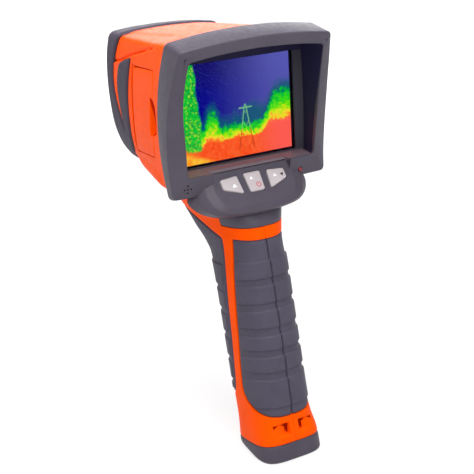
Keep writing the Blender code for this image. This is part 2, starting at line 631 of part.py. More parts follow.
# ---------------------------------------------------------------- thermal core and shutter
SHUTTER_PIVOT = (10.8, LENS_Z - 10.8)  # x, z
pivot_x, pivot_z = SHUTTER_PIVOT
box("detector_core", (-13, 20, LENS_Z - 13), (13, 44, LENS_Z + 13), "steel", bevel=0.8)
frame = box("shutter_frame", (-15.5, 44.4, LENS_Z - 15.5), (15.5, 45.6, LENS_Z + 15.5), "black")
cut(frame, rod("aperture", (0, 40, LENS_Z), (0, 50, LENS_Z), 5.5, sides=20),
    rod("pivot_hole", (pivot_x, 40, pivot_z), (pivot_x, 50, pivot_z), 1.3, sides=12))
blade = rod("shutter_blade", (-4.3, 46.0, pivot_z - 2.1), (-4.3, 46.6, pivot_z - 2.1), 6.6, "black", 20)
join(blade, box("shutter_arm", (-4, 46.05, pivot_z - 3), (pivot_x + 2, 46.55, pivot_z + 2)),
     rod("shutter_pin", (pivot_x, 44.8, pivot_z), (pivot_x, 47.2, pivot_z), 1.0, sides=12))

# ---------------------------------------------------------------- display stack and boards
box("screen_window", (-37, WINDOW_Y, -28.2), (37, WINDOW_Y + 1.5, 28.2), "glass", bevel=0.3)
gasket = box("window_gasket", (-38.6, WINDOW_Y, -29.8), (38.6, WINDOW_Y + 1.5, 29.8), "rubber")
cut(gasket, box("gasket_hole", (-37.3, -5, -28.5), (37.3, 5, 28.5)))
box("display_panel", (-37.5, 1.1, -31.5), (37.5, 4.7, 29.5), "black", bevel=0.4)
bracket = box("display_bracket", (-37.2, 5.0, -32.5), (37.2, 6.0, 30.5), "steel")
cut(bracket, box("bracket_hole", (-28, 0, -22), (28, 10, 20)))
board = box("main_board", (-36.5, 9.0, -33), (36.5, 10.6, 33), "board")
# Packages on the main board: x, z, half width, half height, thickness.
CHIPS = ((-8, 8, 9, 9, 2.2), (14, 12, 6, 6, 1.6), (12, -14, 8, 5, 2.8), (-20, -18, 5, 7, 3.2))
for i, (x, z, w, h, up) in enumerate(CHIPS):
    join(board, box(f"chip_{i}", (x - w, 10.0, z - h), (x + w, 10.6 + up, z + h)))

# ---------------------------------------------------------------- ports and door
box("port_board", (-27.2, 20.0, -19.0), (-25.4, 44.0, 20.0), "board")
for name, y, z, half_y, half_z, finish in PORTS:
    top = -34.5 if name == "memory_card" else -33.0
    socket = box(name, (top, y - half_y, z - half_z), (-27.6, y + half_y, z + half_z), finish, bevel=0.3)
    if name in ("video_socket", "power_jack"):
        cut(socket, rod(name + "_bore", (-60, y, z), (-29.5, y, z), half_y - 1.2, sides=12))
    if name == "usb_socket":
        cut(socket, box("usb_mouth", (-60, y - 1.5, z - 3.8), (-30, y + 1.5, z + 3.8)))

door_plate = [(DOOR_PIN_TOP.y, 22.5), DOOR_SIDE[1], DOOR_SIDE[2], (DOOR_PIN_FOOT.y, -26.0)]
door = prism("port_door", door_plate, -60, -28, "orange")
join(door, rod("knuckle", along_pin(0.015), along_pin(0.985), KNUCKLE_R))
keep(door, head_loft("door_skin", 0.0))
door_back = head_loft("door_back", -2.0)
cut(door_back, rod("knuckle_keep", along_pin(-0.2), along_pin(1.2), KNUCKLE_R + 0.01))
cut(door, door_back, pin_hole, rod("finger_notch", (-52, 6.5, -8.5), (-52, 4.5, 9.0), 8.6, sides=20))
rod("door_hinge_pin", along_pin(-0.06), along_pin(1.06), DOOR_PIN_R, "steel", 10)

# ---------------------------------------------------------------- trigger
TRIGGER_SIDE = (
    (11, -67.2), (22, -66.6), (27.5, -68.6), (27.4, -74), (25.2, -79), (25.4, -85), (27.4, -89), (24.5, -90.2),
    (21.4, -86), (20.4, -83.5), (12.2, -83.5), (12.2, -80), (18.5, -79.5), (15.5, -73.5), (11, -72),
)
trigger = prism("trigger", TRIGGER_SIDE, -5.3, 5.3, "orange")
cut(trigger, rod("trigger_bore", (-9, *TRIGGER_PIVOT), (9, *TRIGGER_PIVOT), 1.2, sides=12))
rod("trigger_pin", (-9.2, *TRIGGER_PIVOT), (9.2, *TRIGGER_PIVOT), 0.9, "steel", 12)
box("trigger_switch", (-4, 1.0, -86), (4, 8.6, -78), "black", bevel=0.4)

# ---------------------------------------------------------------- battery
battery_bar("battery_pack", BATTERY_W / 2, BATTERY_D / 2, 0.6, BATTERY_L, "black")
keep(handle_loft("battery_cap", 0.0, finish="dark"),
           prism("cap_region", [(-90, foot_line(-90) - GAP), (60, foot_line(60) - GAP), (60, FOOT_BOTTOM),
                                (-90, FOOT_BOTTOM)], -60, 60))
box("battery_contacts", (-8, -15, -95.8), (8, -5, -92.2), "steel", bevel=0.3)

# ---------------------------------------------------------------- case screws, driven from the right
for i, (y, z) in enumerate(CASE_SCREWS, start=1):
    screw = rod(f"case_screw_{i}", (SCREW_HEAD_X, y, z), (SCREW_HEAD_X + 2.6, y, z), 2.5, "steel", 12)
    join(screw, rod(f"shank_{i}", (-8.5, y, z), (SCREW_HEAD_X + 1, y, z), 1.15, sides=10))
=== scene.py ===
"""The looks of the hand-held thermal camera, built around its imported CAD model.

Stations are in millimetres from the centre of the display window: X to the user's right, Y forward
towards the lens, Z up. world() turns them into metres in the object's own frame.
"""

import math

import bmesh
import bpy
import numpy as np
from mathutils import Matrix, Vector

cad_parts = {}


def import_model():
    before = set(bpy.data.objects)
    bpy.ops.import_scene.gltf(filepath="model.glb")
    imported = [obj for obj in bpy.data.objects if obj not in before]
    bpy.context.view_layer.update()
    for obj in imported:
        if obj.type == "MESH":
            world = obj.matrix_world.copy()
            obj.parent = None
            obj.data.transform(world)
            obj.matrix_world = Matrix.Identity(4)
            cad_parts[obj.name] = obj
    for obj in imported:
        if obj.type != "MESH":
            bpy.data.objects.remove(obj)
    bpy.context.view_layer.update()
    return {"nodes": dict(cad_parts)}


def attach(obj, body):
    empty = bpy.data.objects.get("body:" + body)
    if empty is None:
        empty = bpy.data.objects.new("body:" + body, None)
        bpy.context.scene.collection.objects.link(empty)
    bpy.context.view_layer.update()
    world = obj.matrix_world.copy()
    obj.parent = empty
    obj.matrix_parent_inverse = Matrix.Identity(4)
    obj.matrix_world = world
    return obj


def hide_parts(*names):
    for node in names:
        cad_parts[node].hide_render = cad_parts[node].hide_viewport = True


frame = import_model()
nodes = frame["nodes"]

# --- dimensions shared with the CAD (mm)
ORIGIN = np.array((0.0, 29.0, 188.0))
GAP, HALF_GAP = 0.3, 0.04
WALL = 2.2
HEAD_REAR, HEAD_FRONT = -16.0, 84.0
GUARD_FRONT, GUARD_PROUD, GUARD_EDGE = 93.0, 1.0, 2.2
SCREEN_W, SCREEN_H = 71.2, 53.4
LENS_Z = 8.0
PANEL_TILT = math.radians(39.3)
PANEL_ORIGIN = np.array((0.0, -14.2, -32.4))
RAKE = math.radians(10.9)
RUBBER_BED = 2.1
HANDLE_WALL = 3.9
COLLAR_TOP, COLLAR_BOTTOM = -58.9, -66.6
FOOT_LINE_REAR, FOOT_LINE_FRONT = -176.6, -186.2
FOOT_BOTTOM, FOOT_EDGE = -188.0, 1.6
NECK_FRONT = -11.0
BATTERY_W, BATTERY_D, BATTERY_L = 24.0, 29.0, 84.0
TRIGGER_PIVOT, TRIGGER_BORE = (14.0, -69.0), 1.2

# Handle stations: height, half width, rear, front, squareness, narrowing towards the front.
HANDLE = np.array((
    (-38.0, 25.0, -9.0, 64.0, 3.0, 0.10),
    (-50.0, 23.5, -21.5, 50.0, 2.8, 0.0),
    (-58.9, 20.6, -26.5, 40.0, 2.7, -0.08),
    (-66.0, 19.2, -27.6, 32.0, 2.6, -0.09),
    (-73.0, 17.8, -29.0, 24.5, 2.5, -0.04),
    (-80.0, 17.2, -30.6, 18.6, 2.5, 0.0),
    (-100.0, 17.2, -34.6, 12.3, 2.5, 0.0),
    (-120.0, 17.1, -38.7, 8.2, 2.5, 0.0),
    (-140.0, 17.1, -42.7, 4.0, 2.5, 0.0),
    (-155.0, 17.1, -45.4, 0.6, 2.6, 0.0),
    (-165.0, 17.2, -47.0, -2.4, 2.9, 0.04),
    (-176.0, 18.0, -49.6, -6.0, 3.4, 0.10),
    (-189.0, 18.6, -50.6, -8.0, 3.8, 0.12),
))

# Half outlines of the head, top centre to bottom centre: x, z, corner reach.
HEAD_REAR_HALF = (
    (0, 44.3, 0), (24, 43.3, 20), (42.9, 40.6, 3.2), (46.6, 22, 18), (47.8, -6, 20),
    (47.0, -30, 10), (43.8, -41.0, 4.5), (22, -43.8, 8), (0, -44.6, 0),
)
HEAD_FRONT_HALF = (
    (0, 36.7, 0), (17, 36.3, 14), (30.3, 34.9, 3.2), (33.2, 22, 12), (34.0, 2, 14),
    (32.3, -19, 8), (28.2, -31.6, 5), (20.5, -40.6, 4), (0, -42.6, 0),
)

# Side outlines: y, z, corner reach.
BUMPER_SIDE = (
    (120, 60, 0), (77, 60, 0), (77, 39, 1), (73, 35, 1), (77.9, 27, 9), (81.6, 13, 9), (81.6, 6, 9),
    (79.8, -0.6, 9), (77.2, -6, 9), (73, -13, 9), (69, -18, 0.8), (68, -17, 0.6), (69.6, -9.3, 9),
    (72.3, 1.9, 9), (72.4, 10.5, 7), (67.8, 20.5, 2.4), (62, 23, 9), (47.2, 26.4, 0.8), (52, 12, 9),
    (54.8, 0, 9), (56.3, -12, 9), (57.5, -23.5, 9), (59.0, -28.0, 6), (66, -32, 9), (74, -37, 9),
    (78, -60, 0), (120, -60, 0),
)
DOOR_SIDE = ((43.2, 23.0, 1.0), (6.2, 25.4, 1.2), (12.2, -21.6, 1.2), (50.6, -26.2, 1.0))
REAR_GRIP_SIDE = (
    (-80, COLLAR_BOTTOM, 0), (-17.0, COLLAR_BOTTOM + 0.8, 1.2), (-18.2, -90, 9), (-20.2, -120, 9),
    (-21.4, -148, 9), (-23.2, -154.5, 9), (-28.4, -158.2, 9), (-36, -161, 9), (-46, -162.6, 9),
    (-80, -164, 0),
)
FRONT_GRIP_SIDE = (
    (70, -50.5, 0), (30, -56.0, 9), (11.4, -60.0, 9), (-9.7, -66.4, 1.2), (-10.2, -75, 9), (-10.6, -90, 9),
    (-12.0, -112, 9), (-13.3, -131, 9), (-13.9, -148, 9), (-13.0, -155, 9), (-9, -160.5, 9), (0, -163.5, 9),
    (70, -165, 0),
)
FLANK_LINE = np.array(((80.0, 19.5), (67, 22), (51, 26.7), (30, 31.3), (6, 36.6), (-15, 41.4)))
NOTCH_SIDE = ((12.6, 11.6, 1), (7.0, 10.0, 3), (3.6, 6.5, 3), (3.2, 0.7, 3), (3.2, -4.5, 3),
              (5.2, -9.0, 2), (16, -10.6, 1))
REAR_PADS = ((-77.0, -86.0), (-90.1, -99.3), (-103.6, -112.6), (-117.5, -124.6), (-128.8, -136.8),
             (-141.3, -156.5))
FRONT_PADS = ((-79.7, -92.0), (-95.2, -104.9), (-108.4, -118.8), (-122.4, -132.6), (-136.2, -145.9),
              (-149.4, -157.5))
PAD_SLOPE = 0.12

BUTTONS = {
    "button_left": ((-19.4, 0.8, 0.8), (-9.1, 0.0, 0.8), (-8.3, 10.7, 0.8), (-19.5, 6.5, 0.8)),
    "button_middle": ((-5.0, -0.5, 0.8), (5.0, -0.5, 0.8), (4.4, 10.7, 0.8), (-4.4, 10.7, 0.8)),
    "button_right": ((9.1, 0.0, 0.8), (19.4, 0.8, 0.8), (19.5, 6.5, 0.8), (8.3, 10.7, 0.8)),
}
CASE_SCREWS = ((70.0, 29.6), (62.0, -29.0), (20.0, 33.0), (27.0, -33.0), (-14.0, -73.0))
SCREW_HEAD_X, BOSS_R, THREAD_R, SHANK_R, HEAD_R = 11.5, 3.7, 1.5, 1.5, 2.9
STRAP_FRONT, STRAP_LOW, STRAP_HIGH = -41.1, -172.2, -166.8


# --- meshes
def world(points):
    return (np.asarray(points, float) + ORIGIN) * 0.001


def placed(name, data):
    obj = bpy.data.objects.new(name, data)
    bpy.context.scene.collection.objects.link(obj)
    return obj


def copied(obj, name):
    return placed(name, obj.data.copy())


def made(name, points, faces):
    """A closed mesh object from stations and faces, with its faces turned outwards."""
    mesh = bpy.data.meshes.new(name)
    mesh.from_pydata(world(points).tolist(), [], faces)
    bm = bmesh.new()
    bm.from_mesh(mesh)
    bmesh.ops.recalc_face_normals(bm, faces=bm.faces)
    if bm.calc_volume(signed=True) < 0:
        bmesh.ops.reverse_faces(bm, faces=bm.faces)
    bm.to_mesh(mesh)
    bm.free()
    return placed(name, mesh)


def loft(name, rings, loop=False):
    """A skin over rings of equal count, closed by end faces, or round like a tyre when loop is set."""
    rings = np.asarray(rings, float)
    m, n = rings.shape[:2]
    i, j = np.meshgrid(np.arange(m if loop else m - 1), np.arange(n), indexing="ij")
    k, l = (i + 1) % m, (j + 1) % n
    faces = np.stack((i * n + j, i * n + l, k * n + l, k * n + j), -1).reshape(-1, 4).tolist()
    if not loop:
        faces += [list(range(n))[::-1], list(range((m - 1) * n, m * n))]
    return made(name, rings.reshape(-1, 3), faces)


def combine(obj, other, operation):
    mod = obj.modifiers.new(operation.lower(), "BOOLEAN")
    mod.operation = operation
    mod.object = other
    mod.solver = "MANIFOLD"


def settle(obj, *others):
    """Bakes the modifiers into the mesh and removes the tools."""
    depsgraph = bpy.context.evaluated_depsgraph_get()
    mesh = bpy.data.meshes.new_from_object(obj.evaluated_get(depsgraph))
    obj.modifiers.clear()
    obj.data = mesh
    for other in others:
        bpy.data.objects.remove(other)
    return obj


def cut(obj, *tools):
    for tool in tools:
        combine(obj, tool, "DIFFERENCE")
    return settle(obj, *tools)


def join(obj, *others):
    for other in others:
        combine(obj, other, "UNION")
    return settle(obj, *others)


def keep(obj, other):
    combine(obj, other, "INTERSECT")
    return settle(obj, other)


def smooth(obj, angle):
    obj.data.shade_smooth()
    obj.data.set_sharp_from_angle(angle=math.radians(angle))
    return obj


# --- curves and fields
def bend(a, here, b, steps):
    """Steps along the curve from a to b that the corner here pulls on."""
    shares = [k / steps for k in range(steps + 1)]
    return [a * (1 - t) ** 2 + here * 2 * t * (1 - t) + b * t * t for t in shares]


def fillet(points, reach, steps):
    """A closed polyline with each corner eased into a curve; reach is a number per corner."""
    points = np.asarray(points, float)
    count = len(points)
    out = []
    for i, here in enumerate(points):
        r = reach[i]
        before, after = points[i - 1] - here, points[(i + 1) % count] - here
        la, lb = np.linalg.norm(before), np.linalg.norm(after)
        if r <= 0 or la == 0 or lb == 0:
            out.append(here)
            continue
        a = here + before * min(r / la, 0.48)
        b = here + after * min(r / lb, 0.48)
        out += bend(a, here, b, steps)
    return np.array(out)


def eased(outline, steps=5):
    """An outline of (a, b, reach) as a smooth closed curve."""
    data = np.asarray(outline, float)
    return fillet(data[:, :2], data[:, 2], steps)


def grown(outline, distance):
    """A closed outline moved outwards along the bisector at each corner."""
    p = np.asarray(outline, float)
    q = np.roll(p, -1, axis=0)
    side = 1 if np.sum(p[:, 0] * q[:, 1] - q[:, 0] * p[:, 1]) > 0 else -1
    d = q - p
    d /= np.linalg.norm(d, axis=1, keepdims=True)
    normal = np.stack((d[:, 1], -d[:, 0]), 1) * side
    before = np.roll(normal, 1, axis=0)
    bisector = normal + before
    bisector /= np.linalg.norm(bisector, axis=1, keepdims=True)
    share = np.maximum(0.4, np.sum(bisector * normal, axis=1, keepdims=True))
    return p + bisector * distance / share


def inside_by(points, outline):
    """How far inside a closed outline each point lies; outside it is negative."""
    a = np.asarray(outline, float)
    b = np.roll(a, -1, axis=0)
    best = np.full(len(points), 1e9)
    inside = np.zeros(len(points), bool)
    x, y = points[:, 0], points[:, 1]
    for p, q in zip(a, b):
        d = q - p
        t = np.clip(((x - p[0]) * d[0] + (y - p[1]) * d[1]) / (d @ d), 0, 1)
        best = np.minimum(best, np.hypot(x - p[0] - t * d[0], y - p[1] - t * d[1]))
        if p[1] != q[1]:
            crosses = (p[1] > y) != (q[1] > y)
            inside ^= crosses & (x < p[0] + (y - p[1]) * d[0] / (q[1] - p[1]))
    return np.where(inside, best, -best)


def ramp(value, low, high):
    t = np.clip((value - low) / (high - low), 0, 1)
    return t * t * (3 - 2 * t)


def eased_table(table, x):
    """Each column of a table against its falling first column, as a smooth monotone curve."""
    xs = table[::-1, 0]
    out = []
    for column in table[::-1, 1:].T:
        h, slope = np.diff(xs), np.diff(column) / np.diff(xs)
        m = np.zeros_like(column)
        same = slope[:-1] * slope[1:] > 0
        w1, w2 = 2 * h[1:] + h[:-1], h[1:] + 2 * h[:-1]
        with np.errstate(divide="ignore", invalid="ignore"):
            m[1:-1] = np.where(same, (w1 + w2) / (w1 / slope[:-1] + w2 / slope[1:]), 0)
        m[0], m[-1] = slope[0], slope[-1]
        i = np.clip(np.searchsorted(xs, x) - 1, 0, len(xs) - 2)
        t = (x - xs[i]) / h[i]
        out.append((2 * t**3 - 3 * t**2 + 1) * column[i] + (t**3 - 2 * t**2 + t) * h[i] * m[i]
                   + (3 * t**2 - 2 * t**3) * column[i + 1] + (t**3 - t**2) * h[i] * m[i + 1])
    return np.array(out)


def respaced(ring, count):
    """A closed 2-D ring as evenly spaced points from its first point."""
    closed = np.vstack((ring, ring[:1]))
    s = np.concatenate(((0,), np.cumsum(np.linalg.norm(np.diff(closed, axis=0), axis=1))))
    t = np.linspace(0, s[-1], count, endpoint=False)
    return np.stack((np.interp(t, s, closed[:, 0]), np.interp(t, s, closed[:, 1])), 1)


def outward(ring):
    """Unit normals of a closed 2-D ring, pointing out of it."""
    d = np.roll(ring, -1, axis=0) - np.roll(ring, 1, axis=0)
    n = np.stack((d[:, 1], -d[:, 0]), 1)
    n /= np.linalg.norm(n, axis=1, keepdims=True)
    if np.sum(n * (ring - ring.mean(axis=0))) < 0:
        n = -n
    return n


# --- the head and the handle as surfaces
def whole(half):
    return np.array(list(half) + [(-x, z, r) for x, z, r in reversed(half[1:-1])], float)


def swollen(half, offset):
    low, high = half[-1][1], half[0][1]
    middle, tall, wide = (low + high) / 2, (high - low) / 2, max(p[0] for p in half)
    return [(x * (1 + offset / wide), middle + (z - middle) * (1 + offset / tall), r) for x, z, r in half]


def section(ring, value, axis):
    """A 2-D ring as stations, with this value on the axis (0, 1 or 2) that it lacks."""
    return np.insert(np.asarray(ring, float), axis, value, axis=1)


def moved_out(ring, value, axis, offset, detail):
    """A section whose points move outwards by offset plus detail(points)."""
    move = np.full(len(ring), float(offset))
    if detail:
        move = move + detail(section(ring, value, axis))
    return section(ring + outward(ring) * move[:, None], value, axis)


def head_skin(name, stations, offset=0.0, count=96, detail=None):
    """The head's surface through stations; detail(points) gives how far each point moves out."""
    rings = []
    for y in stations:
        t = (y - HEAD_REAR) / (HEAD_FRONT - HEAD_REAR)
        half = [tuple(a + (b - a) * t for a, b in zip(r, f)) for r, f in zip(HEAD_REAR_HALF, HEAD_FRONT_HALF)]
        rings.append(moved_out(respaced(eased(whole(half), 8), count), y, 1, offset, detail))
    return loft(name, rings)


def handle_skin(name, heights, offset=0.0, count=64, detail=None):
    """The handle's surface through heights; detail(points) gives how far each point moves out."""
    rings = []
    turn = np.linspace(0, 2 * math.pi, 720, endpoint=False) - math.pi / 2
    c, s = np.cos(turn), np.sin(turn)
    for z in heights:
        half, rear, front, square, narrowing = eased_table(HANDLE, np.array([float(z)]))[:, 0]
        middle, deep = (rear + front) / 2, (front - rear) / 2
        across = np.sign(c) * np.abs(c) ** (2 / square)
        along = np.sign(s) * np.abs(s) ** (2 / square)
        ring = np.stack((across * (1 - narrowing * along) * half, middle + along * deep), 1)
        rings.append(moved_out(respaced(ring, count), z, 2, offset, detail))
    return loft(name, rings)


def prism(name, outline, low, high):
    return loft(name, [section(outline, x, 0) for x in (low, high)])


def block(name, low, high, bevel=0.0):
    (x0, y0, z0), (x1, y1, z1) = low, high
    outline = fillet([(y0, z0), (y1, z0), (y1, z1), (y0, z1)], [bevel] * 4, 3)
    if not bevel:
        return prism(name, outline, x0, x1)
    inner = grown(outline, -bevel * 0.6)
    steps = [(x0, inner), (x0 + bevel * 0.6, outline), (x1 - bevel * 0.6, outline), (x1, inner)]
    return loft(name, [section(o, x, 0) for x, o in steps])


def rod(name, start, end, radius, sides=32):
    a, b = np.asarray(start, float), np.asarray(end, float)
    axis = (b - a) / np.linalg.norm(b - a)
    side = np.cross(axis, (0, 0, 1) if abs(axis[2]) < 0.9 else (1, 0, 0))
    side /= np.linalg.norm(side)
    up = np.cross(axis, side)
    turn = np.linspace(0, 2 * math.pi, sides, endpoint=False)[:, None]
    circle = np.cos(turn) * side + np.sin(turn) * up
    return loft(name, [a + circle * radius, b + circle * radius])


def turned(name, profile, reach):
    """A closed profile of (radius, y), its corners eased, spun round the lens axis."""
    curve = fillet(profile, [0 if r < 0.5 else reach for r, y in profile], 2)
    turn = np.linspace(0, 2 * math.pi, 96, endpoint=False)
    rings = [section(np.stack((r * np.cos(turn), LENS_Z + r * np.sin(turn)), 1), y, 1) for r, y in curve]
    return loft(name, rings, loop=True)


def hood_front(z):
    z = np.asarray(z, float)
    return np.where(z > -10, -4.3 - 7.6 * ((z + 10) / 50) ** 2, -4.3 - 3.2 * ((z + 10) / 28.6) ** 2)


def hood_rear(z):
    z = np.asarray(z, float)
    return -13.4 - 15.5 * np.maximum(0.0, (z + 27) / 66) ** 1.9 - 0.8 * np.maximum(0.0, (-30 - z) / 9)


def rim_rear(z):
    return hood_rear(z) - 2.5 - 2.1 * np.exp(-(((np.asarray(z, float) + 12) / 18) ** 2))


PANEL_DOWN = np.array((0.0, -math.sin(PANEL_TILT), -math.cos(PANEL_TILT)))
PANEL_OUT = np.array((0.0, -math.cos(PANEL_TILT), math.sin(PANEL_TILT)))
ACROSS = np.array((1.0, 0.0, 0.0))


def on_panel(outline, out):
    """Points (x, down) of the key panel's plane, raised by out, as stations."""
    o = np.asarray(outline, float)
    return PANEL_ORIGIN + o[:, :1] * ACROSS + o[:, 1:2] * PANEL_DOWN + out * PANEL_OUT


def panel_stack(name, steps):
    """A solid over outlines of the key panel's plane, each at its own height."""
    return loft(name, [on_panel(outline, out) for outline, out in steps])


# --- outlines and shared tools
bumper_line = eased(BUMPER_SIDE)
door_line = eased(DOOR_SIDE)
rear_grip_line = eased(REAR_GRIP_SIDE)
front_grip_line = eased(FRONT_GRIP_SIDE)
notch_line = eased(NOTCH_SIDE)

line_heights = np.array((60, 50, 44, 38, 32, 26, 20, 14, 8, 2, -4, -10, -17, -24, -31, -37, -41.0))
rear_line = [(float(hood_front(z)) + GAP, z) for z in line_heights] + [
    (-9.5, -44), (NECK_FRONT + GAP, -50), (NECK_FRONT + GAP, COLLAR_TOP - GAP),
    (-90, COLLAR_TOP - GAP), (-90, 60)
]


def near(distance, width, depth):
    """How far a surface sinks beside a boundary that lies this far off."""
    return -depth * (1 - ramp(np.abs(distance), 0.0, width))


def beside(side, outline, width, depth):
    """How far a surface sinks just outside an outline of the side view."""
    return near(np.minimum(0, inside_by(side, outline)), width, depth)


def head_detail(points):
    """The orange head's rounded edges, the line along its flank and the swell of its lower edges."""
    side = points[:, 1:3]
    flank = ramp(np.abs(points[:, 0]), 22, 27) * ramp(side[:, 0], 2.0, 22.0)
    move = near(side[:, 0] - hood_front(side[:, 1]) - GAP, 0.9, 0.35) + beside(side, bumper_line, 0.9, 0.35)
    move += near(points[:, 0], 0.7, 0.18)
    over = side[:, 1] - np.interp(side[:, 0], FLANK_LINE[::-1, 0], FLANK_LINE[::-1, 1])
    move += flank * (-0.55 * ramp(over, -0.1, 0.9) + 0.25 * np.exp(-((over + 0.9) / 0.9) ** 2))
    move -= 1.2 * flank * np.exp(-((over - 0.8) / 0.75) ** 2)
    move += np.where(points[:, 0] < -20, beside(side, door_line, 0.8, 0.3), 0)
    corner = ramp(np.abs(points[:, 0]), 24, 32) * ramp(-points[:, 2], 27, 34)
    return move + 1.7 * corner * ramp(side[:, 0], 2, 16) * (1 - ramp(side[:, 0], 44, 66))


def handle_detail(points):
    """The orange handle's rounded edges beside the rubber and the foot's cap, and the strap's dishes."""
    side = points[:, 1:3]
    move = beside(side, rear_grip_line, 0.9, 0.35) + beside(side, front_grip_line, 0.9, 0.35)
    move += near(points[:, 0], 0.7, 0.4)
    move += near(points[:, 2] - foot_line(points[:, 1]), 0.9, 0.35)
    reach = np.abs(points[:, 0])
    tall = ramp(points[:, 2], -173.4, -171.6) * (1 - ramp(points[:, 2], -167.2, -165.4))
    dish = ramp(reach, 3.0, 3.5) * np.clip((11.0 - reach) / 7.5, 0, 1)
    return move - np.where(points[:, 1] < -38, 2.4 * tall * dish, 0)


def foot_line(y):
    """The height of the seam between the foot and its cap."""
    return FOOT_LINE_REAR + (FOOT_LINE_FRONT - FOOT_LINE_REAR) * (np.asarray(y, float) + 52.0) / 47.0


battery_axis = np.array((0.0, -math.sin(RAKE), -math.cos(RAKE)))
battery_forward = np.array((0.0, math.cos(RAKE), -math.sin(RAKE)))
BATTERY_FOOT = np.array((0.0, -26.6, -182.0))


def battery_room():
    """The battery's space in the handle, along the handle's rake."""
    wide, deep = BATTERY_W / 2 + 0.6, BATTERY_D / 2 + 0.6
    outline = fillet([(wide, deep), (wide, -deep), (-wide, -deep), (-wide, deep)], [3.0] * 4, 6)
    across = outline[:, :1] * ACROSS + outline[:, 1:2] * battery_forward
    return loft("battery_room", [BATTERY_FOOT - battery_axis * up + across for up in (-20, BATTERY_L + 12)])


DOOR_PIN_TOP = np.array((-38.0, 41.3, 23.6))
DOOR_PIN_FOOT = np.array((-36.2, 48.7, -25.6))
DOOR_PIN_R, KNUCKLE_R = 0.8, 1.9
LEFT_WALL = (-60, -28)
BAY_FLOOR_X = -29.5
bay_outline = np.array(((40.0, 19.5), (19.5, 20.5), (19.5, -19.0), (45.5, -22.5)))
PORTS = {  # y, z, half width, half height
    "usb_socket": (30.0, 12.0, 2.0, 4.4),
    "video_socket": (30.0, 1.0, 3.4, 3.4),
    "power_jack": (30.0, -11.0, 4.2, 4.2),
    "memory_card": (39.5, 0.0, 1.1, 11.0),
}
COARSE_HEAD = (HEAD_REAR, 9, 34, 59, HEAD_FRONT)


def along_pin(t):
    return DOOR_PIN_TOP + (DOOR_PIN_FOOT - DOOR_PIN_TOP) * t


def stations(low, high, step):
    return np.linspace(low, high, int(round((high - low) / step)) + 1)


# Half outlines of the display hood, top centre to bottom centre: x, z, corner reach.
ARRIS = ((0, 42.2, 0), (22, 41.6, 14), (44.0, 39.0, 2.2), (46.7, 24, 12), (48.2, 4, 18), (48.0, -16, 16),
         (46.6, -39.0, 2.5), (20, -39.6, 6), (0, -39.6, 0))
HOOD_FRONT = ((0, 45.9, 0), (22, 45.2, 14), (44.4, 41.9, 2.8), (46.9, 24, 12), (48.0, 4, 18), (47.8, -16, 16),
              (46.2, -40.6, 3), (20, -41, 6), (0, -41, 0))
RIM = ((0, 36.2, 0), (22, 35.4, 14), (39.3, 33.2, 2), (40.3, 20, 12), (40.5, 6, 12), (39.2, -12, 12),
       (38.3, -28, 2), (20, -28.4, 6), (0, -28.4, 0))
RECESS = ((0, 35, 0), (22, 34.2, 14), (40.2, 32.4, 2), (41, 20, 12), (41.2, 6, 12), (41, -12, 12),
          (40.4, -28.2, 2), (20, -28.4, 6), (0, -28.4, 0))
EDGE_X, EDGE_Z = SCREEN_W / 2 + 0.7, SCREEN_H / 2 + 0.7
WINDOW_EDGE = ((0, EDGE_Z, 0), (20, EDGE_Z, 5), (EDGE_X, EDGE_Z, 0.8), (EDGE_X, 14, 5), (EDGE_X, 4, 4),
               (EDGE_X, -12, 5), (EDGE_X, -EDGE_Z, 0.8), (20, -EDGE_Z, 5), (0, -EDGE_Z, 0))
CHIN_TOP = ((0, -5.0, 0), (23.4, -5.0, 0.5), (24.6, 2, 4), (24.0, 9, 5), (22.3, 13.6, 4), (20, 15.9, 3),
            (16, 17.2, 4), (9, 17.8, 5), (0, 17.9, 0))
CHIN_FACE = ((0, -5.0, 0), (26.4, -5.0, 0.5), (28.6, 2, 4), (28.8, 9, 5), (27.2, 14.2, 4), (24.8, 17.4, 3),
             (20, 19.8, 4), (11, 21.2, 5), (0, 21.6, 0))
CHIN_SKIRT = ((0, -4.8, 0), (29, -4.8, 0.5), (33.0, 3, 4), (33.6, 8, 5), (31.8, 12.8, 4), (28.6, 16.4, 3),
              (23.8, 19.4, 5), (12, 21.2, 5), (0, 21.8, 0))
CHIN_ROOT = ((0, -3, 0), (31, -3, 0.5), (36, 3, 4), (36, 7, 5), (32.5, 12, 4), (28, 15, 3), (22, 17.4, 4),
             (12, 18.4, 5), (0, 18.7, 0))
KEY_ROOM = ((0, -2.0, 0), (21.5, -2.0, 1), (21.5, 10, 1), (20, 16, 1), (14, 19, 1), (0, 19.6, 0))
LED_AT, SPEAKER_AT = (30.5, -35.6), (-38.5, -34.0)


def refined(curves, longest):
    """Curves of equal count with points added alike in all, so that no step is longer than this."""
    n = len(curves[0])
    out = [[] for curve in curves]
    for i in range(n):
        j = (i + 1) % n
        span = max(np.linalg.norm(c[j] - c[i]) for c in curves)
        pieces = max(1, int(math.ceil(span / longest)))
        for k in range(pieces):
            for c, o in zip(curves, out):
                o.append(c[i] + (c[j] - c[i]) * k / pieces)
    return [np.array(o) for o in out]


def profile_eased(rings, reach, steps=3):
    """Rings of a closed profile with more rings added, so that each edge between faces is rounded."""
    rings = np.asarray(rings, float)
    count = len(rings)
    out = []
    for i, here in enumerate(rings):
        if reach[i] <= 0:
            out.append(here)
            continue
        before, after = rings[i - 1] - here, rings[(i + 1) % count] - here
        la = np.linalg.norm(before, axis=1, keepdims=True)
        lb = np.linalg.norm(after, axis=1, keepdims=True)
        a = here + before * np.minimum(reach[i] / la, 0.48)
        b = here + after * np.minimum(reach[i] / lb, 0.48)
        out += bend(a, here, b, steps)
    return out


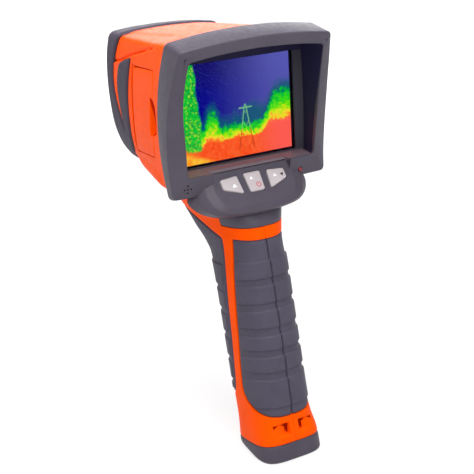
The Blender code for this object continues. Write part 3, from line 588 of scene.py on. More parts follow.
def hood_solid():
    steps = (  # half outline, depth, offset, how far its edge is eased
        (HOOD_FRONT, hood_front, 0.0, 0.5), (ARRIS, hood_rear, 0.0, 0.8), (RIM, rim_rear, 0.0, 1.0),
        (RECESS, -3.5, 0.0, 0.7), (WINDOW_EDGE, -2.2, 0.0, 0.3), (WINDOW_EDGE, -1.0, 0.0, 0),
        (RECESS, -1.0, 1.4, 0), (RECESS, lambda z: hood_rear(z) + 7, 1.4, 0),
        (ARRIS, lambda z: hood_rear(z) + 7, -2.2, 0), (HOOD_FRONT, hood_front, -2.2, 0),
    )
    curves = refined([eased(whole(swollen(half, offset)), 6) for half, depth, offset, reach in steps], 1.4)
    rings = []
    for curve, (half, depth, offset, reach) in zip(curves, steps):
        y = depth(curve[:, 1]) if callable(depth) else depth
        rings.append(section(curve, y, 1))
    return loft("hood_shell", profile_eased(rings, [reach for *rest, reach in steps]), loop=True)


def chin_curve(half):
    return eased(whole(half), 5)


# --- materials
def operator(kind, swapped=False):
    def apply(self, other):
        return self.nodes.math(kind, *((other, self) if swapped else (self, other)))

    return apply


class Field:
    """A value over the surface; a sum of fields makes the Math nodes for it."""

    def __init__(self, nodes, socket):
        self.nodes, self.socket = nodes, socket

    __add__, __radd__ = operator("ADD"), operator("ADD", True)
    __sub__, __rsub__ = operator("SUBTRACT"), operator("SUBTRACT", True)
    __mul__, __rmul__ = operator("MULTIPLY"), operator("MULTIPLY", True)
    __truediv__ = operator("DIVIDE")

    def __abs__(self):
        return self.nodes.math("ABSOLUTE", self)


class Nodes:
    """A small hand for building a material's nodes, given a new name or a finished material."""

    def __init__(self, material):
        self.material = bpy.data.materials.new(material) if isinstance(material, str) else material
        self.material.use_nodes = True
        self.tree = self.material.node_tree
        self.shader = self.tree.nodes["Principled BSDF"]
        place = self.tree.nodes.get("place") or self.add("ShaderNodeTexCoord", name="place")
        self.place = Field(self, place.outputs["Object"])

    def feed(self, sockets, values):
        for key, value in dict(values).items():
            if isinstance(value, Field):
                self.tree.links.new(value.socket, sockets[key])
            else:
                sockets[key].default_value = value

    def add(self, kind, values=(), **settings):
        node = self.tree.nodes.new(kind)
        for key, value in settings.items():
            setattr(node, key, value)
        self.feed(node.inputs, values)
        return node

    def finish(self, values):
        """Sets or links the shader's sockets."""
        self.feed(self.shader.inputs, values)
        return self.material

    def noise(self, scale, detail=2.0, rough=0.5):
        values = {"Vector": self.place, "Scale": scale, "Detail": detail, "Roughness": rough}
        return Field(self, self.add("ShaderNodeTexNoise", values).outputs["Fac"])

    def cells(self, scale):
        node = self.add("ShaderNodeTexVoronoi", {"Vector": self.place, "Scale": scale})
        return Field(self, node.outputs["Distance"])

    def math(self, operation, a, b=0.0, c=0.0):
        return Field(self, self.add("ShaderNodeMath", enumerate((a, b, c)), operation=operation).outputs[0])

    def step(self, value, low, high, to_low=0.0, to_high=1.0):
        keys = ("Value", "From Min", "From Max", "To Min", "To Max")
        values = zip(keys, (value, low, high, to_low, to_high))
        node = self.add("ShaderNodeMapRange", values, interpolation_type="SMOOTHSTEP")
        return Field(self, node.outputs["Result"])

    def spread(self, scale, low=0.0, high=1.0, detail=2.0):
        """Noise stretched to run from low to high."""
        return self.step(self.noise(scale, detail), 0.3, 0.7, low, high)

    def mix(self, factor, a, b):
        node = self.add("ShaderNodeMix", {0: factor}, data_type="RGBA")
        self.feed([s for s in node.inputs if s.type == "RGBA"], enumerate((a, b)))
        return Field(self, node.outputs[2])

    def bump(self, height, distance, strength=1.0):
        node = self.add("ShaderNodeBump", {"Strength": strength, "Distance": distance, "Height": height})
        return Field(self, node.outputs["Normal"])

    def split(self):
        """X, Y and Z in the object's own frame, in metres."""
        return [Field(self, axis) for axis in self.add("ShaderNodeSeparateXYZ", {0: self.place}).outputs]

    def design(self):
        """X, Y and Z in millimetres from the window's centre."""
        return [self.math("MULTIPLY_ADD", axis, 1000.0, -float(at)) for axis, at in zip(self.split(), ORIGIN)]


def linear(r, g, b):
    """An 8-bit display colour as linear light."""
    return tuple(v / 3294.6 if v <= 10.31 else ((v / 255 + 0.055) / 1.055) ** 2.4 for v in (r, g, b)) + (1.0,)


def shade(colour, factor):
    return tuple(min(1.0, v * factor) for v in colour[:3]) + (1.0,)


def plastic(name, colour, rough, grain=900.0, depth=0.00006, speck=0.06, cloud=0.05, specular=0.2, sheen=0.0,
            metal=0.0, edge=0.0, rough_spread=0.05):
    """A moulded or painted surface: soft clouding, fine grain, uneven gloss, lighter sharp edges where
    wanted.
    """
    n = Nodes(name)
    fine = n.noise(grain, 2.0, 0.6)
    tone = n.mix(n.spread(70.0, detail=3.0), shade(colour, 1 - cloud), shade(colour, 1 + cloud))
    tone = n.mix(n.step(fine, 0.35, 0.68, 0.0, speck * 4), tone, shade(colour, 1.25))
    # Lighter colour on sharp convex edges.
    if edge:
        ridge = Field(n, n.add("ShaderNodeNewGeometry").outputs["Pointiness"])
        lighter_edges = n.step(ridge, 0.52, 0.62, 0.0, edge) * n.step(n.noise(260.0), 0.35, 0.7)
        tone = n.mix(lighter_edges, tone, shade(colour, 1.7))
    return n.finish({
        "Base Color": tone, "Roughness": n.spread(320.0, rough - rough_spread, rough + rough_spread, 3.0),
        "Normal": n.bump(fine + n.cells(grain * 0.8) * 0.5, depth), "Metallic": metal,
        "Specular IOR Level": specular, "Sheen Weight": sheen, "Sheen Roughness": 0.45,
    })


ORANGE = (0.95, 0.08, 0.0, 1.0)
DARK = linear(71, 66, 78)
RUBBER = linear(72, 68, 82)

case_skin, trigger_skin = (
    plastic(name, ORANGE, 0.42, grain=1500.0, depth=0.000015, speck=0.015, cloud=0.03, specular=0.025)
    for name in ("orange_case", "trigger_case")
)
dark_skin = plastic("dark_case", DARK, 0.5, grain=1300.0, depth=0.00004, speck=0.08, cloud=0.06, edge=0.5)
guard_skin = plastic("guard_case", DARK, 0.6, grain=1300.0, depth=0.00004, speck=0.08, cloud=0.06,
                     specular=0.05)
rubber_skin = plastic("soft_grip", RUBBER, 0.62, grain=1100.0, depth=0.00006, speck=0.08, cloud=0.07,
                      specular=0.16, sheen=0.05, edge=0.5)
black_skin = plastic("black_plastic", linear(34, 33, 38), 0.45, grain=1400.0, depth=0.00003, speck=0.1,
                     cloud=0.08)
knurl_skin = plastic("ring_rubber", linear(46, 44, 52), 0.6, grain=1200.0, speck=0.1, cloud=0.1)
metal_skin = plastic("bare_metal", linear(196, 196, 200), 0.3, grain=2600.0, depth=0.000012, speck=0.05,
                     specular=0.5, metal=1.0, rough_spread=0.1)
core_skin = plastic("core_metal", linear(150, 152, 158), 0.4, grain=2200.0, depth=0.00002, metal=1.0)
card_skin = plastic("card", linear(50, 80, 150), 0.4, grain=1500.0, depth=0.00002)


def board_material():
    """Green solder mask over fine copper runs and lighter pads."""
    n = Nodes("circuit_board")
    grid = n.add("ShaderNodeTexBrick", {
        "Vector": n.place, "Scale": 260.0, "Mortar Size": 0.05, "Color1": (0.01, 0.10, 0.035, 1),
        "Color2": (0.012, 0.13, 0.045, 1), "Mortar": (0.03, 0.22, 0.07, 1),
    }, offset=0.3)
    mask, runs = Field(n, grid.outputs["Color"]), Field(n, grid.outputs["Fac"])
    spots = n.step(n.cells(520.0), 0.16, 0.2, 0.7, 0.0) * n.step(n.noise(90.0), 0.5, 0.56)
    return n.finish({"Base Color": n.mix(spots, mask, (0.55, 0.42, 0.2, 1)),
                     "Roughness": n.spread(400.0, 0.3, 0.45), "Normal": n.bump(runs, 0.00004, 0.6)})


def glow_material(name, colour, strength):
    """A moulded lens over a light source, its colour clouded a little."""
    n = Nodes(name)
    return n.finish({
        "Base Color": n.mix(n.noise(900.0), shade(colour, 0.8), shade(colour, 1.2)),
        "Roughness": n.spread(500.0, 0.12, 0.22), "Normal": n.bump(n.noise(700.0), 0.00001),
        "Emission Color": colour, "Emission Strength": strength, "Coat Weight": 0.15,
    })


def lens_material():
    """Coated infrared lens: dark, mirror-like, with its coating's sheen painted in, violet in the middle and
    green towards the rim.
    """
    n = Nodes("coated_lens")
    x, y, z = n.design()
    up = z - LENS_Z
    far = n.math("SQRT", x * x + up * up)
    # Painted sheen of the coating: violet near the axis, green towards the rim.
    painted_sheen = n.mix(n.step(far, 3.0, 13.0), (0.10, 0.07, 0.14, 1), (0.08, 0.18, 0.17, 1))
    return n.finish({
        "Base Color": n.mix(n.spread(60.0, 0.0, 0.25), painted_sheen, (0.16, 0.10, 0.2, 1)),
        "Roughness": n.spread(300.0, 0.05, 0.11), "Normal": n.bump(n.noise(1500.0), 0.000002),
        "Metallic": 0.85, "Coat Weight": 0.5, "Coat Roughness": 0.04,
    })


def window_material():
    """Clear hard-coated cover glass with a faint haze of fine marks."""
    n = Nodes("window_glass")
    return n.finish({
        "Base Color": n.mix(n.noise(60.0), (0.99, 0.99, 1.0, 1), (0.96, 0.97, 0.99, 1)),
        "Roughness": n.spread(200.0, 0.01, 0.03, 3.0), "Normal": n.bump(n.noise(300.0), 0.0000005),
        "Transmission Weight": 1.0, "IOR": 1.08,
    })


def picture_material():
    """A false-colour heat picture: cold sky, two clumps of trees, a mast and warm ground, with painted glare
    that lightens the sky towards the right.
    """
    n = Nodes("heat_picture")
    x, y, z = n.split()
    across = (x + SCREEN_W / 2000) / (SCREEN_W / 1000)
    u = (across - 0.12) / 0.88
    v = (float(ORIGIN[2]) / 1000 + SCREEN_H / 2000 - z) / (SCREEN_H / 1000)
    leaf = n.noise(520.0, 4.0, 0.75)
    clump = n.noise(150.0, 4.0, 0.65)
    puff = clump - 0.5

    def hump(centre, flat, width, rise):
        return n.step(abs(u - centre), flat, width, rise, 0.0)

    # Painted glare: the sky and its lower band lighten towards the right.
    sky = n.mix(n.step(u, 0.14, 1.05), linear(2, 4, 134), linear(84, 84, 172))
    dusk = n.mix(n.step(u, 0.16, 1.0), linear(16, 14, 96), linear(88, 90, 178))
    sky = n.mix(n.step(v, 0.0, 0.40, 0.8, 0.0), sky, dusk)
    wires = n.math("PINGPONG", v - u * 0.62, 0.085)
    wires = n.step(wires, 0.0, 0.007, 0.22, 0.0) * n.step(u, 0.42, 0.56, 1.0, 0.0)
    sky = n.mix(wires, sky, linear(70, 84, 190))

    # The line of the tree tops, as a share of the height from the top, and the line of the warm ground.
    tops = 0.66 + puff * 0.14
    for item in ((0.22, 0.02, 0.10, 0.17), (0.01, 0.0, 0.12, 0.90), (0.44, 0.0, 0.06, 0.04),
                 (1.0, 0.13, 0.32, 0.29)):
        tops = tops - hump(*item)
    grounds = 0.79 + puff * 0.10
    for item in ((0.92, 0.10, 0.26, 0.11), (0.03, 0.02, 0.16, -0.09)):
        grounds = grounds - hump(*item)
    deep = v - tops + (leaf - 0.5) * 0.12
    heat = deep / n.math("MAXIMUM", grounds - tops, 0.05) + (leaf - 0.52) * 0.9 - hump(0.0, 0.02, 0.14, 0.30)
    tones = n.add("ShaderNodeValToRGB", {0: heat})
    stops = ((0.0, (2, 110, 96)), (0.10, (4, 160, 70)), (0.25, (8, 200, 40)), (0.50, (70, 224, 16)),
             (0.74, (200, 232, 20)), (0.90, (252, 220, 50)), (1.0, (252, 130, 36)))
    elements = tones.color_ramp.elements
    while len(elements) < len(stops):
        elements.new(0.5)
    for element, (at, colour) in zip(elements, stops):
        element.position = at
        element.color = linear(*colour)
    mist = deep + hump(0.62, 0.04, 0.16, 0.12)
    haze = n.mix(n.step(mist, -0.14, 0.0, 0.0, 0.85), sky, linear(4, 88, 112))
    picture = n.mix(n.step(deep, -0.015, 0.02), haze, Field(n, tones.outputs["Color"]))

    # The lattice of branches that fills the left border.
    border = n.math("MULTIPLY_ADD", v, 0.06, 0.062) + puff * 0.12
    branches = n.mix(n.step(n.cells(700.0), 0.25, 0.6), linear(150, 226, 40), linear(8, 150, 60))
    branches = n.mix(n.step(leaf, 0.42, 0.6), linear(10, 196, 50), branches)
    picture = n.mix(n.step(border - u, -0.008, 0.012, 0.0, 0.95), picture, branches)

    ground = n.mix(n.step(leaf, 0.3, 0.7), linear(250, 66, 20), linear(252, 104, 44))
    ground = n.mix(n.step(u, 0.55, 0.95), ground, linear(255, 92, 80))
    low = n.step(v + u * -0.5, 0.86, 0.93, 0.0, 0.9)
    ground = n.mix(low, ground, n.mix(n.step(clump, 0.4, 0.6), linear(255, 150, 30), linear(250, 205, 60)))
    below = v - grounds + (leaf - 0.5) * 0.08
    picture = n.mix(n.step(below, -0.015, 0.02), picture, ground)

    # The mast: two legs that meet at the top, a cross-arm and braces.
    lean = abs(u - 0.545)
    spread = (v - 0.44) * 0.15
    tall = n.step(v, 0.46, 0.48) * n.step(v, 0.93, 0.95, 1.0, 0.0)
    legs = n.step(abs(lean - spread), 0.002, 0.008, 1.0, 0.0) * tall
    arm = n.step(abs(v - 0.505), 0.004, 0.011, 1.0, 0.0) * n.step(lean, 0.06, 0.068, 1.0, 0.0)
    brace = n.step(n.math("PINGPONG", v + lean * 2.0, 0.07), 0.004, 0.012, 0.7, 0.0)
    brace = brace * n.step(lean - spread, 0.0, 0.004, 1.0, 0.0)
    mast = n.math("MAXIMUM", n.math("MAXIMUM", legs, arm), brace * tall)
    paint = n.mix(n.step(v, 0.70, 0.74), linear(120, 200, 130), linear(200, 48, 16))
    picture = n.mix(mast * 0.8, picture, paint)

    lit = n.step(abs(across - 0.5), 0.498, 0.5, 1.0, 0.0) * n.step(abs(v - 0.5), 0.498, 0.5, 1.0, 0.0)
    return n.finish({
        "Base Color": n.mix(lit, linear(30, 28, 42), linear(3, 3, 5)),
        "Emission Color": n.mix(lit, (0, 0, 0, 1), picture), "Emission Strength": 1.0,
        "Specular IOR Level": 0.0, "Roughness": n.spread(500.0, 0.25, 0.4),
        "Normal": n.bump(n.noise(900.0), 0.00001),
    })


def repaint(material, mask, colour, rough=None):
    """Lays a second colour over a finished material where mask(nodes) is one."""
    n = Nodes(material)
    over = mask(n)
    tone, gloss = (Field(n, n.shader.inputs[key].links[0].from_socket) for key in ("Base Color", "Roughness"))
    if rough is not None:
        n.finish({"Roughness": gloss * (1.0 - over) + over * rough})
    return n.finish({"Base Color": n.mix(over, tone, colour)})


def within(n, low, high):
    """The display's recess inside the rim, between two heights."""
    x, y, z = n.design()
    rise = n.math("POWER", n.math("MAXIMUM", (z + 27.0) / 66.0, 0.0), 1.9)
    behind = n.step(y - (-15.2 - rise * 15.5), 0.0, 0.6)
    tall = n.step(z, low - 0.2, low + 0.2) * n.step(z, high - 0.2, high + 0.2, 1.0, 0.0)
    return behind * (n.step(abs(x), 41.6, 41.9, 1.0, 0.0) * tall)


# Painted shade on the recess walls, tinted navy as a painted reflection of the screen.
def recess_painted_shade(n):
    return within(n, -27.9, 35.5)


# Painted light on the ledge below the window, which lies in shade.
def ledge_painted_light(n):
    return within(n, -29.4, -27.9)


# Painted shade, lighter than on the walls, on the bezel face beside the window.
def bezel_face_painted_shade(n):
    x, y, z = n.design()
    return recess_painted_shade(n) * n.step(z, 26.8, 27.4, 1.0, 0.0) * n.step(y, -4.0, -3.7)


def notch_painted_shade(n):
    """Where the hollow at the door's free edge is painted deep red, as painted shade."""
    x, y, z = n.design()
    along, tall = (12.6 - y) / 9.4, (z - 0.5) / 10.8
    here = n.step(along, -0.02, 0.03) * n.step(x, -30.0, -26.0, 1.0, 0.0)
    return here * n.step(along * along + tall * tall, 0.78, 1.0, 1.0, 0.0)


def on_keys(n):
    """X and the distance down the key panel, in millimetres."""
    x, y, z = n.design()
    down = (y - float(PANEL_ORIGIN[1])) * float(PANEL_DOWN[1])
    return x, down + (z - float(PANEL_ORIGIN[2])) * float(PANEL_DOWN[2])


def arrow(centre, down_at, size, way):
    def mask(n):
        x, down = on_keys(n)
        along = (down - down_at) * float(way)
        side = (along + size) * 0.62 - abs(x - centre)
        return n.step(side, -0.05, 0.1) * n.step(along, size - 0.1, size, 1.0, 0.0)

    return mask


def power_ring(centre, down_at, radius):
    def mask(n):
        x, down = on_keys(n)
        a, b = x - centre, down - down_at
        ring = n.step(abs(n.math("SQRT", a * a + b * b) - radius), 0.18, 0.32, 1.0, 0.0)
        gap = n.step(abs(a), 0.5, 0.6, 1.0, 0.0) * n.step(b, -0.1, 0.0, 1.0, 0.0)
        tall = n.step(b, -radius - 0.4, -radius - 0.3) * n.step(b, -0.1, 0.1, 1.0, 0.0)
        return n.math("MAXIMUM", ring * (1.0 - gap), n.step(abs(a), 0.18, 0.3, 1.0, 0.0) * tall)

    return mask


# Painted shade: the finger notch's hollow painted deep red on the case and the door.
orange_skin = repaint(case_skin, notch_painted_shade, (0.50, 0.012, 0.0, 1.0))
# Painted shade: the recess walls inside the rim painted dark navy, the navy a painted reflection of the
# screen.
hood_skin = repaint(
    plastic("hood_case", DARK, 0.46, grain=1300.0, depth=0.00004, speck=0.08, cloud=0.06, specular=0.3),
    recess_painted_shade, linear(27, 24, 56), 0.85)
# Painted light: the ledge below the window painted lighter.
repaint(hood_skin, ledge_painted_light, linear(112, 98, 108))
# Painted shade, lighter: the bezel face beside the window.
repaint(hood_skin, bezel_face_painted_shade, linear(58, 56, 66))
KEY_COLOUR = linear(184, 175, 178)
key_skins = {}
for key, marks in (
    ("button_left", ((arrow(-12.6, 5.4, 1.1, 1), linear(250, 250, 250)),)),
    ("button_middle", ((power_ring(1.4, 7.4, 1.3), linear(190, 84, 92)),
                       (arrow(-1.6, 3.0, 0.9, 1), linear(246, 244, 246)))),
    ("button_right", ((arrow(17.0, 4.6, 1.0, -1), linear(44, 38, 52)),
                      (arrow(12.6, 4.0, 0.9, 1), linear(246, 244, 246)))),
):
    skin = plastic(key + "_skin", KEY_COLOUR, 0.4, grain=1600.0, depth=0.00002, speck=0.03, cloud=0.04)
    for mask, colour in marks:
        repaint(skin, mask, colour)
    key_skins[key] = skin
board_skin = board_material()
red_glow = glow_material("indicator", linear(120, 14, 34), 0.03)
lamp_skin = glow_material("lamp", linear(235, 232, 222), 0.0)
lens_skin = lens_material()
glass_skin = window_material()
picture_skin = picture_material()


def coat(obj, material):
    obj.data.materials.clear()
    obj.data.materials.append(material)


def wear(obj, material, body, replaced):
    """Gives a new piece its material and the body it moves with, and hides the CAD node that it stands for.
    """
    coat(obj, material)
    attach(obj, body)
    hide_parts(replaced)


# --- the orange housing
def halved(whole_piece, left_name, right_name):
    """Two copies of a piece, to become its left and right halves once trimmed() parts them at its middle."""
    left, right = copied(whole_piece, left_name), copied(whole_piece, right_name)
    bpy.data.objects.remove(whole_piece)
    return left, right


def trimmed(left, right):
    cut(left, block("right_side", (-HALF_GAP, -90, -210), (80, 140, 80)))
    cut(right, block("left_side", (-80, -90, -210), (HALF_GAP, 140, 80)))


def strap_scoop(sign):
    """An opening beside the central bar, steep at the bar, that meets the strap's tunnel."""
    mouth = section([(3.4, -167.0), (5.8, -167.2), (5.8, -171.4), (3.4, STRAP_LOW)], -60, 1)
    floor = [(3.4, STRAP_HIGH), (5.4, STRAP_HIGH), (5.4, STRAP_LOW), (3.4, STRAP_LOW)]
    return loft("scoop", np.array((mouth, section(floor, STRAP_FRONT, 1))) * (sign, 1, 1))


def bed(name, outline, floor):
    return cut(prism(name, grown(outline, GAP), -70, 70), floor)


def head_trim():
    """The head a little inside its skin, for cutting inner parts to length."""
    return head_skin("trim", COARSE_HEAD, -0.8)


def handle_trim():
    return handle_skin("trim", stations(-100, -45, 3), -RUBBER_BED - 0.3)


def trigger_slot():
    return block("trigger_slot", (-5.9, 4.0, -91.0), (5.9, 60, -65.4))


def foot_region(name, drop):
    """All that lies below the slanting line of the foot, less drop."""
    rear, front = foot_line(-90) - drop, foot_line(60) - drop
    return prism(name, [(-90, rear), (60, front), (60, -230), (-90, -230)], -60, 60)


def housing_shell():
    """Both halves in one: head and handle, hollow, with every bed and opening that they share."""
    shell = head_skin("shell", stations(HEAD_REAR, HEAD_FRONT, 0.55), 0.0, 520, head_detail)
    join(shell, handle_skin("handle_outer", stations(-189, -38, 0.6), 0.0, 200, handle_detail))
    cut(shell, head_skin("head_inner", (HEAD_REAR - 5, 9, 34, 59, HEAD_FRONT - 3.8), -WALL),
        handle_skin("handle_inner", stations(-93, -36, 3), -HANDLE_WALL))
    for y, z in CASE_SCREWS:
        for sign in (-1, 1):
            trim = handle_trim() if z < -50 else head_trim()
            join(shell, keep(rod("boss", (0, y, z), (sign * 50, y, z), BOSS_R), trim))
    for sign in (-1, 1):
        cheek = rod("cheek", (sign * 6.2, *TRIGGER_PIVOT), (sign * 30, *TRIGGER_PIVOT), 3.2)
        join(shell, keep(cheek, handle_trim()))
    cut(shell, prism("rear_region", rear_line, -80, 80))
    recess = eased(whole(swollen(RECESS, 1.9)), 3)
    cut(shell, loft("hood_room", [section(recess, y, 1) for y in (-20.0, -0.6)]))
    root, skirt, face = refined([grown(chin_curve(h), 0.4) for h in (CHIN_ROOT, CHIN_SKIRT, CHIN_FACE)], 3.0)
    cut(shell, panel_stack("chin_room", [(root, -11.4), (skirt, -4.5), (face, 2.0)]))
    bumper_floor = head_skin("floor", (HEAD_REAR - 10, 9, 34, 59, HEAD_FRONT, 130), -1.3)
    cut(shell, bed("bumper_bed", bumper_line, bumper_floor))
    floors = stations(-190, -36, 2.5)
    cut(shell, bed("rear_grip_bed", rear_grip_line, handle_skin("floor", floors, -RUBBER_BED)))
    cut(shell, bed("front_grip_bed", front_grip_line, handle_skin("floor", floors, -RUBBER_BED)))
    cut(shell, foot_region("below_foot", 0.0))
    cut(shell, battery_room())
    cut(shell, block("strap_tunnel", (-12, -45.9, STRAP_LOW), (12, STRAP_FRONT, STRAP_HIGH)))
    for sign in (-1, 1):
        cut(shell, strap_scoop(sign))
    cut(shell, trigger_slot())
    cut(shell, head_skin("front_seat", (HEAD_FRONT - 6, HEAD_FRONT + 20), -2.9, 200))
    cut(shell, rod("trigger_pin_hole", (-9.6, *TRIGGER_PIVOT), (9.6, *TRIGGER_PIVOT), TRIGGER_BORE))
    return shell


def notch_dish(points):
    """The hollow for a fingertip at the door's free edge."""
    return -2.6 * ramp(inside_by(points[:, 1:3], notch_line), 0.0, 2.2)


def notch_work(left):
    """Gives the case a closed hollow at the door's free edge, and room for the door's own share of it."""
    pad = keep(prism("notch_pad", grown(notch_line, 1.5), *LEFT_WALL), head_trim())
    join(left, cut(pad, head_skin("pad_back", COARSE_HEAD, -5.0)))
    dish = head_skin("dish", stations(0, 16, 0.5), 0.0, 480, notch_dish)
    cut(left, cut(prism("notch_room", notch_line, *LEFT_WALL), dish))
    share = prism("door_share", grown(notch_line, 1.0), *LEFT_WALL)
    keep(share, prism("door_side", grown(door_line, GAP), -70, -20))
    cut(left, cut(share, head_skin("share_floor", COARSE_HEAD, -4.5)))


def port_bay_walls():
    rim = keep(prism("door_rim", grown(door_line, 1.6), -60, -30), head_trim())
    cut(rim, head_skin("rim_back", COARSE_HEAD, -4.6))
    tray = prism("bay_tray", grown(bay_outline, 1.8), -60, BAY_FLOOR_X + 2.0)
    keep(tray, head_trim())
    return join(rim, tray)


def housings():
    shell = housing_shell()
    left, right = halved(shell, "case_left", "case_right")
    for y, z in CASE_SCREWS:
        cut(left, rod("thread_hole", (5, y, z), (-9.5, y, z), THREAD_R, 20))
        cut(right, rod("clearance", (-5, y, z), (30, y, z), SHANK_R, 20))
        cut(right, rod("counterbore", (SCREW_HEAD_X - GAP, y, z), (70, y, z), HEAD_R, 40))
    join(left, port_bay_walls())
    notch_work(left)
    cut(left, bed("door_opening", door_line, head_skin("door_floor", COARSE_HEAD, -2.3)))
    cut(left, prism("bay_room", bay_outline, -60, BAY_FLOOR_X))
    cut(left, rod("knuckle_room", along_pin(-0.004), along_pin(1.016), KNUCKLE_R + 0.6, 32))
    for y, z, half_y, half_z in PORTS.values():
        low = (-60, y - half_y - GAP, z - half_z - GAP)
        cut(left, block("port_hole", low, (-26, y + half_y + GAP, z + half_z + GAP)))
    trimmed(left, right)
    for half, node in ((left, "housing_left"), (right, "housing_right")):
        wear(smooth(half, 30), orange_skin, "housing", node)


housings()


# --- display hood, chin and neck
def display_hood():
    hood = hood_solid()
    sweep = fillet([(-23.6, -14), (23.6, -14), (23.6, 30), (-23.6, 30)], [0.6] * 4, 3)
    cut(hood, panel_stack("panel_sweep", [(sweep, -1.2), (sweep, 16)]))
    outlines = (CHIN_ROOT, CHIN_SKIRT, CHIN_FACE, CHIN_TOP)
    root, skirt, face, top = refined([chin_curve(half) for half in outlines], 1.2)
    layers = ((root, -11), (skirt, -4.5), (face, -1.3), (top, 0.0), (grown(top, -1.5), 0.0))
    rings = profile_eased([on_panel(*layer) for layer in layers], (0, 1.3, 0.6, 0.4, 0), 4)
    chin = loft("chin", rings)
    neck = handle_skin("neck", stations(COLLAR_TOP, -43, 0.6), 0.0, 220,
                       lambda p: near(p[:, 2] - COLLAR_TOP, 0.9, 0.35))
    cut(neck, block("neck_front", (-40, NECK_FRONT, -80), (40, 80, -20)))
    join(chin, neck)
    cut(chin, handle_skin("neck_hollow", stations(-70, -46, 3), -WALL))
    join(hood, chin)
    room = refined([chin_curve(KEY_ROOM)], 3.0)[0]
    cut(hood, panel_stack("key_room", [(room, -8.0), (room, -2.0)]))
    for outline in BUTTONS.values():
        hole = grown(key_outline(outline), GAP)
        cut(hood, panel_stack("key_hole", [(hole, -4), (hole, 4)]))
    cut(hood, rod("led_hole", (LED_AT[0], -20, LED_AT[1]), (LED_AT[0], 0, LED_AT[1]), 1.5))
    for dx, dz in ((0, 0), (-2, 0), (2, 0), (0, -2), (0, 2)):
        x, z = SPEAKER_AT[0] + dx, SPEAKER_AT[1] + dz
        cut(hood, rod("speaker_hole", (x, -20, z), (x, -4, z), 0.5, 12))
    hood.name = "hood"
    wear(smooth(hood, 34), hood_skin, "housing", "display_hood")


def key_outline(outline):
    data = np.asarray(outline, float)
    return fillet(data[:, :2], [1.2] * len(data), 5)


def keys():
    for name, outline in BUTTONS.items():
        full = key_outline(outline)
        middle = full.mean(axis=0)
        steps = [(full, -2.6), (full, 0.4), (grown(full, -0.2), 0.75), (grown(full, -0.55), 0.95),
                 (middle + (full - middle) * 0.8, 1.02), (middle + (full - middle) * 0.4, 1.1)]
        key = panel_stack("cap_" + name, steps)
        flange = grown(full, 0.9)
        join(key, panel_stack("flange", [(flange, -3.3), (flange, -2.3)]))
        wear(smooth(key, 40), key_skins[name], name, name)


display_hood()
keys()


# --- bumper and grips
def bumper_detail(points):
    """The bumper stands proud of the case with rounded borders and a rounded front rim."""
    inside = inside_by(points[:, 1:3], bumper_line)
    move = near(np.maximum(0, inside), 1.1, 0.8)
    lip = np.clip((points[:, 1] - (GUARD_FRONT - GUARD_EDGE)) / GUARD_EDGE, 0, 1)
    return move - 2.0 * (1 - np.sqrt(np.maximum(0.0, 1 - lip * lip)))


def front_bumper():
    rim = GUARD_FRONT - GUARD_EDGE + GUARD_EDGE * np.sin(np.linspace(0.15, math.pi / 2, 8))
    ends = np.concatenate((stations(40, GUARD_FRONT - GUARD_EDGE, 0.6), rim))
    bumper = head_skin("bumper", ends, GUARD_PROUD, 420, bumper_detail)
    keep(bumper, prism("side", bumper_line, -70, 70))
    cut(bumper, head_skin("bumper_back", (HEAD_REAR - 20, 9, 34, 59, HEAD_FRONT + GAP), -1.0))
    cut(bumper, head_skin("bumper_mouth", (HEAD_FRONT - 5, HEAD_FRONT + 30), -4.6, 240))
    wear(smooth(bumper, 34), guard_skin, "housing", "front_bumper")


def padded_detail(outline, pads, high, seam):
    """Rubber with a rounded border and raised bands that slope down towards the front."""
    heights = np.linspace(-189, -38, 152)
    rears = eased_table(HANDLE, heights)[1]

    def detail(points):
        inside = inside_by(points[:, 1:3], outline)
        rear = np.interp(points[:, 2], heights, rears)
        level = points[:, 2] + PAD_SLOPE * (points[:, 1] - rear)
        band = np.zeros(len(points))
        for top, bottom in pads:
            raised = ramp(level, bottom - 0.3, bottom + 0.3) * (1 - ramp(level, top - 0.3, top + 0.3))
            band = np.maximum(band, raised)
        move = near(np.maximum(0, inside), 1.3, 0.9)
        move += seam * near(points[:, 0], 0.85, 1.2)
        return move + high * band * ramp(inside, 1.9, 3.0)

    return detail


def grip(name, top, outline, pads, high, seam=0.0):
    detail = padded_detail(outline, pads, high, seam)
    rubber = handle_skin(name, stations(-168, top, 0.4), 0.0, 240, detail)
    keep(rubber, prism("side", outline, -40, 40))
    return cut(rubber, handle_skin("back", stations(-190, -36, 2.5), -1.8))


def grips():
    rear = grip("rear_rubber", -64, rear_grip_line, REAR_PADS, 0.9, 1.0)
    left, right = halved(rear, "rubber_left", "rubber_right")
    trimmed(left, right)
    for half, node in ((left, "rear_grip_left"), (right, "rear_grip_right")):
        wear(smooth(half, 38), rubber_skin, "housing", node)
    front = grip("rubber_front", -48, front_grip_line, FRONT_PADS, 0.75)
    cut(front, trigger_slot())
    wear(smooth(front, 38), rubber_skin, "housing", "front_grip")


front_bumper()
grips()


# --- port door
def door_detail(points):
    """The door's rounded border and its share of the finger notch."""
    return near(np.maximum(0, inside_by(points[:, 1:3], door_plate_line)), 0.8, 0.5) + notch_dish(points)


door_plate_line = fillet([(DOOR_PIN_TOP[1], 22.5), (6.2, 25.4), (12.2, -21.6), (DOOR_PIN_FOOT[1], -26.0)],
                         [0.6, 1.2, 1.2, 0.6], 4)


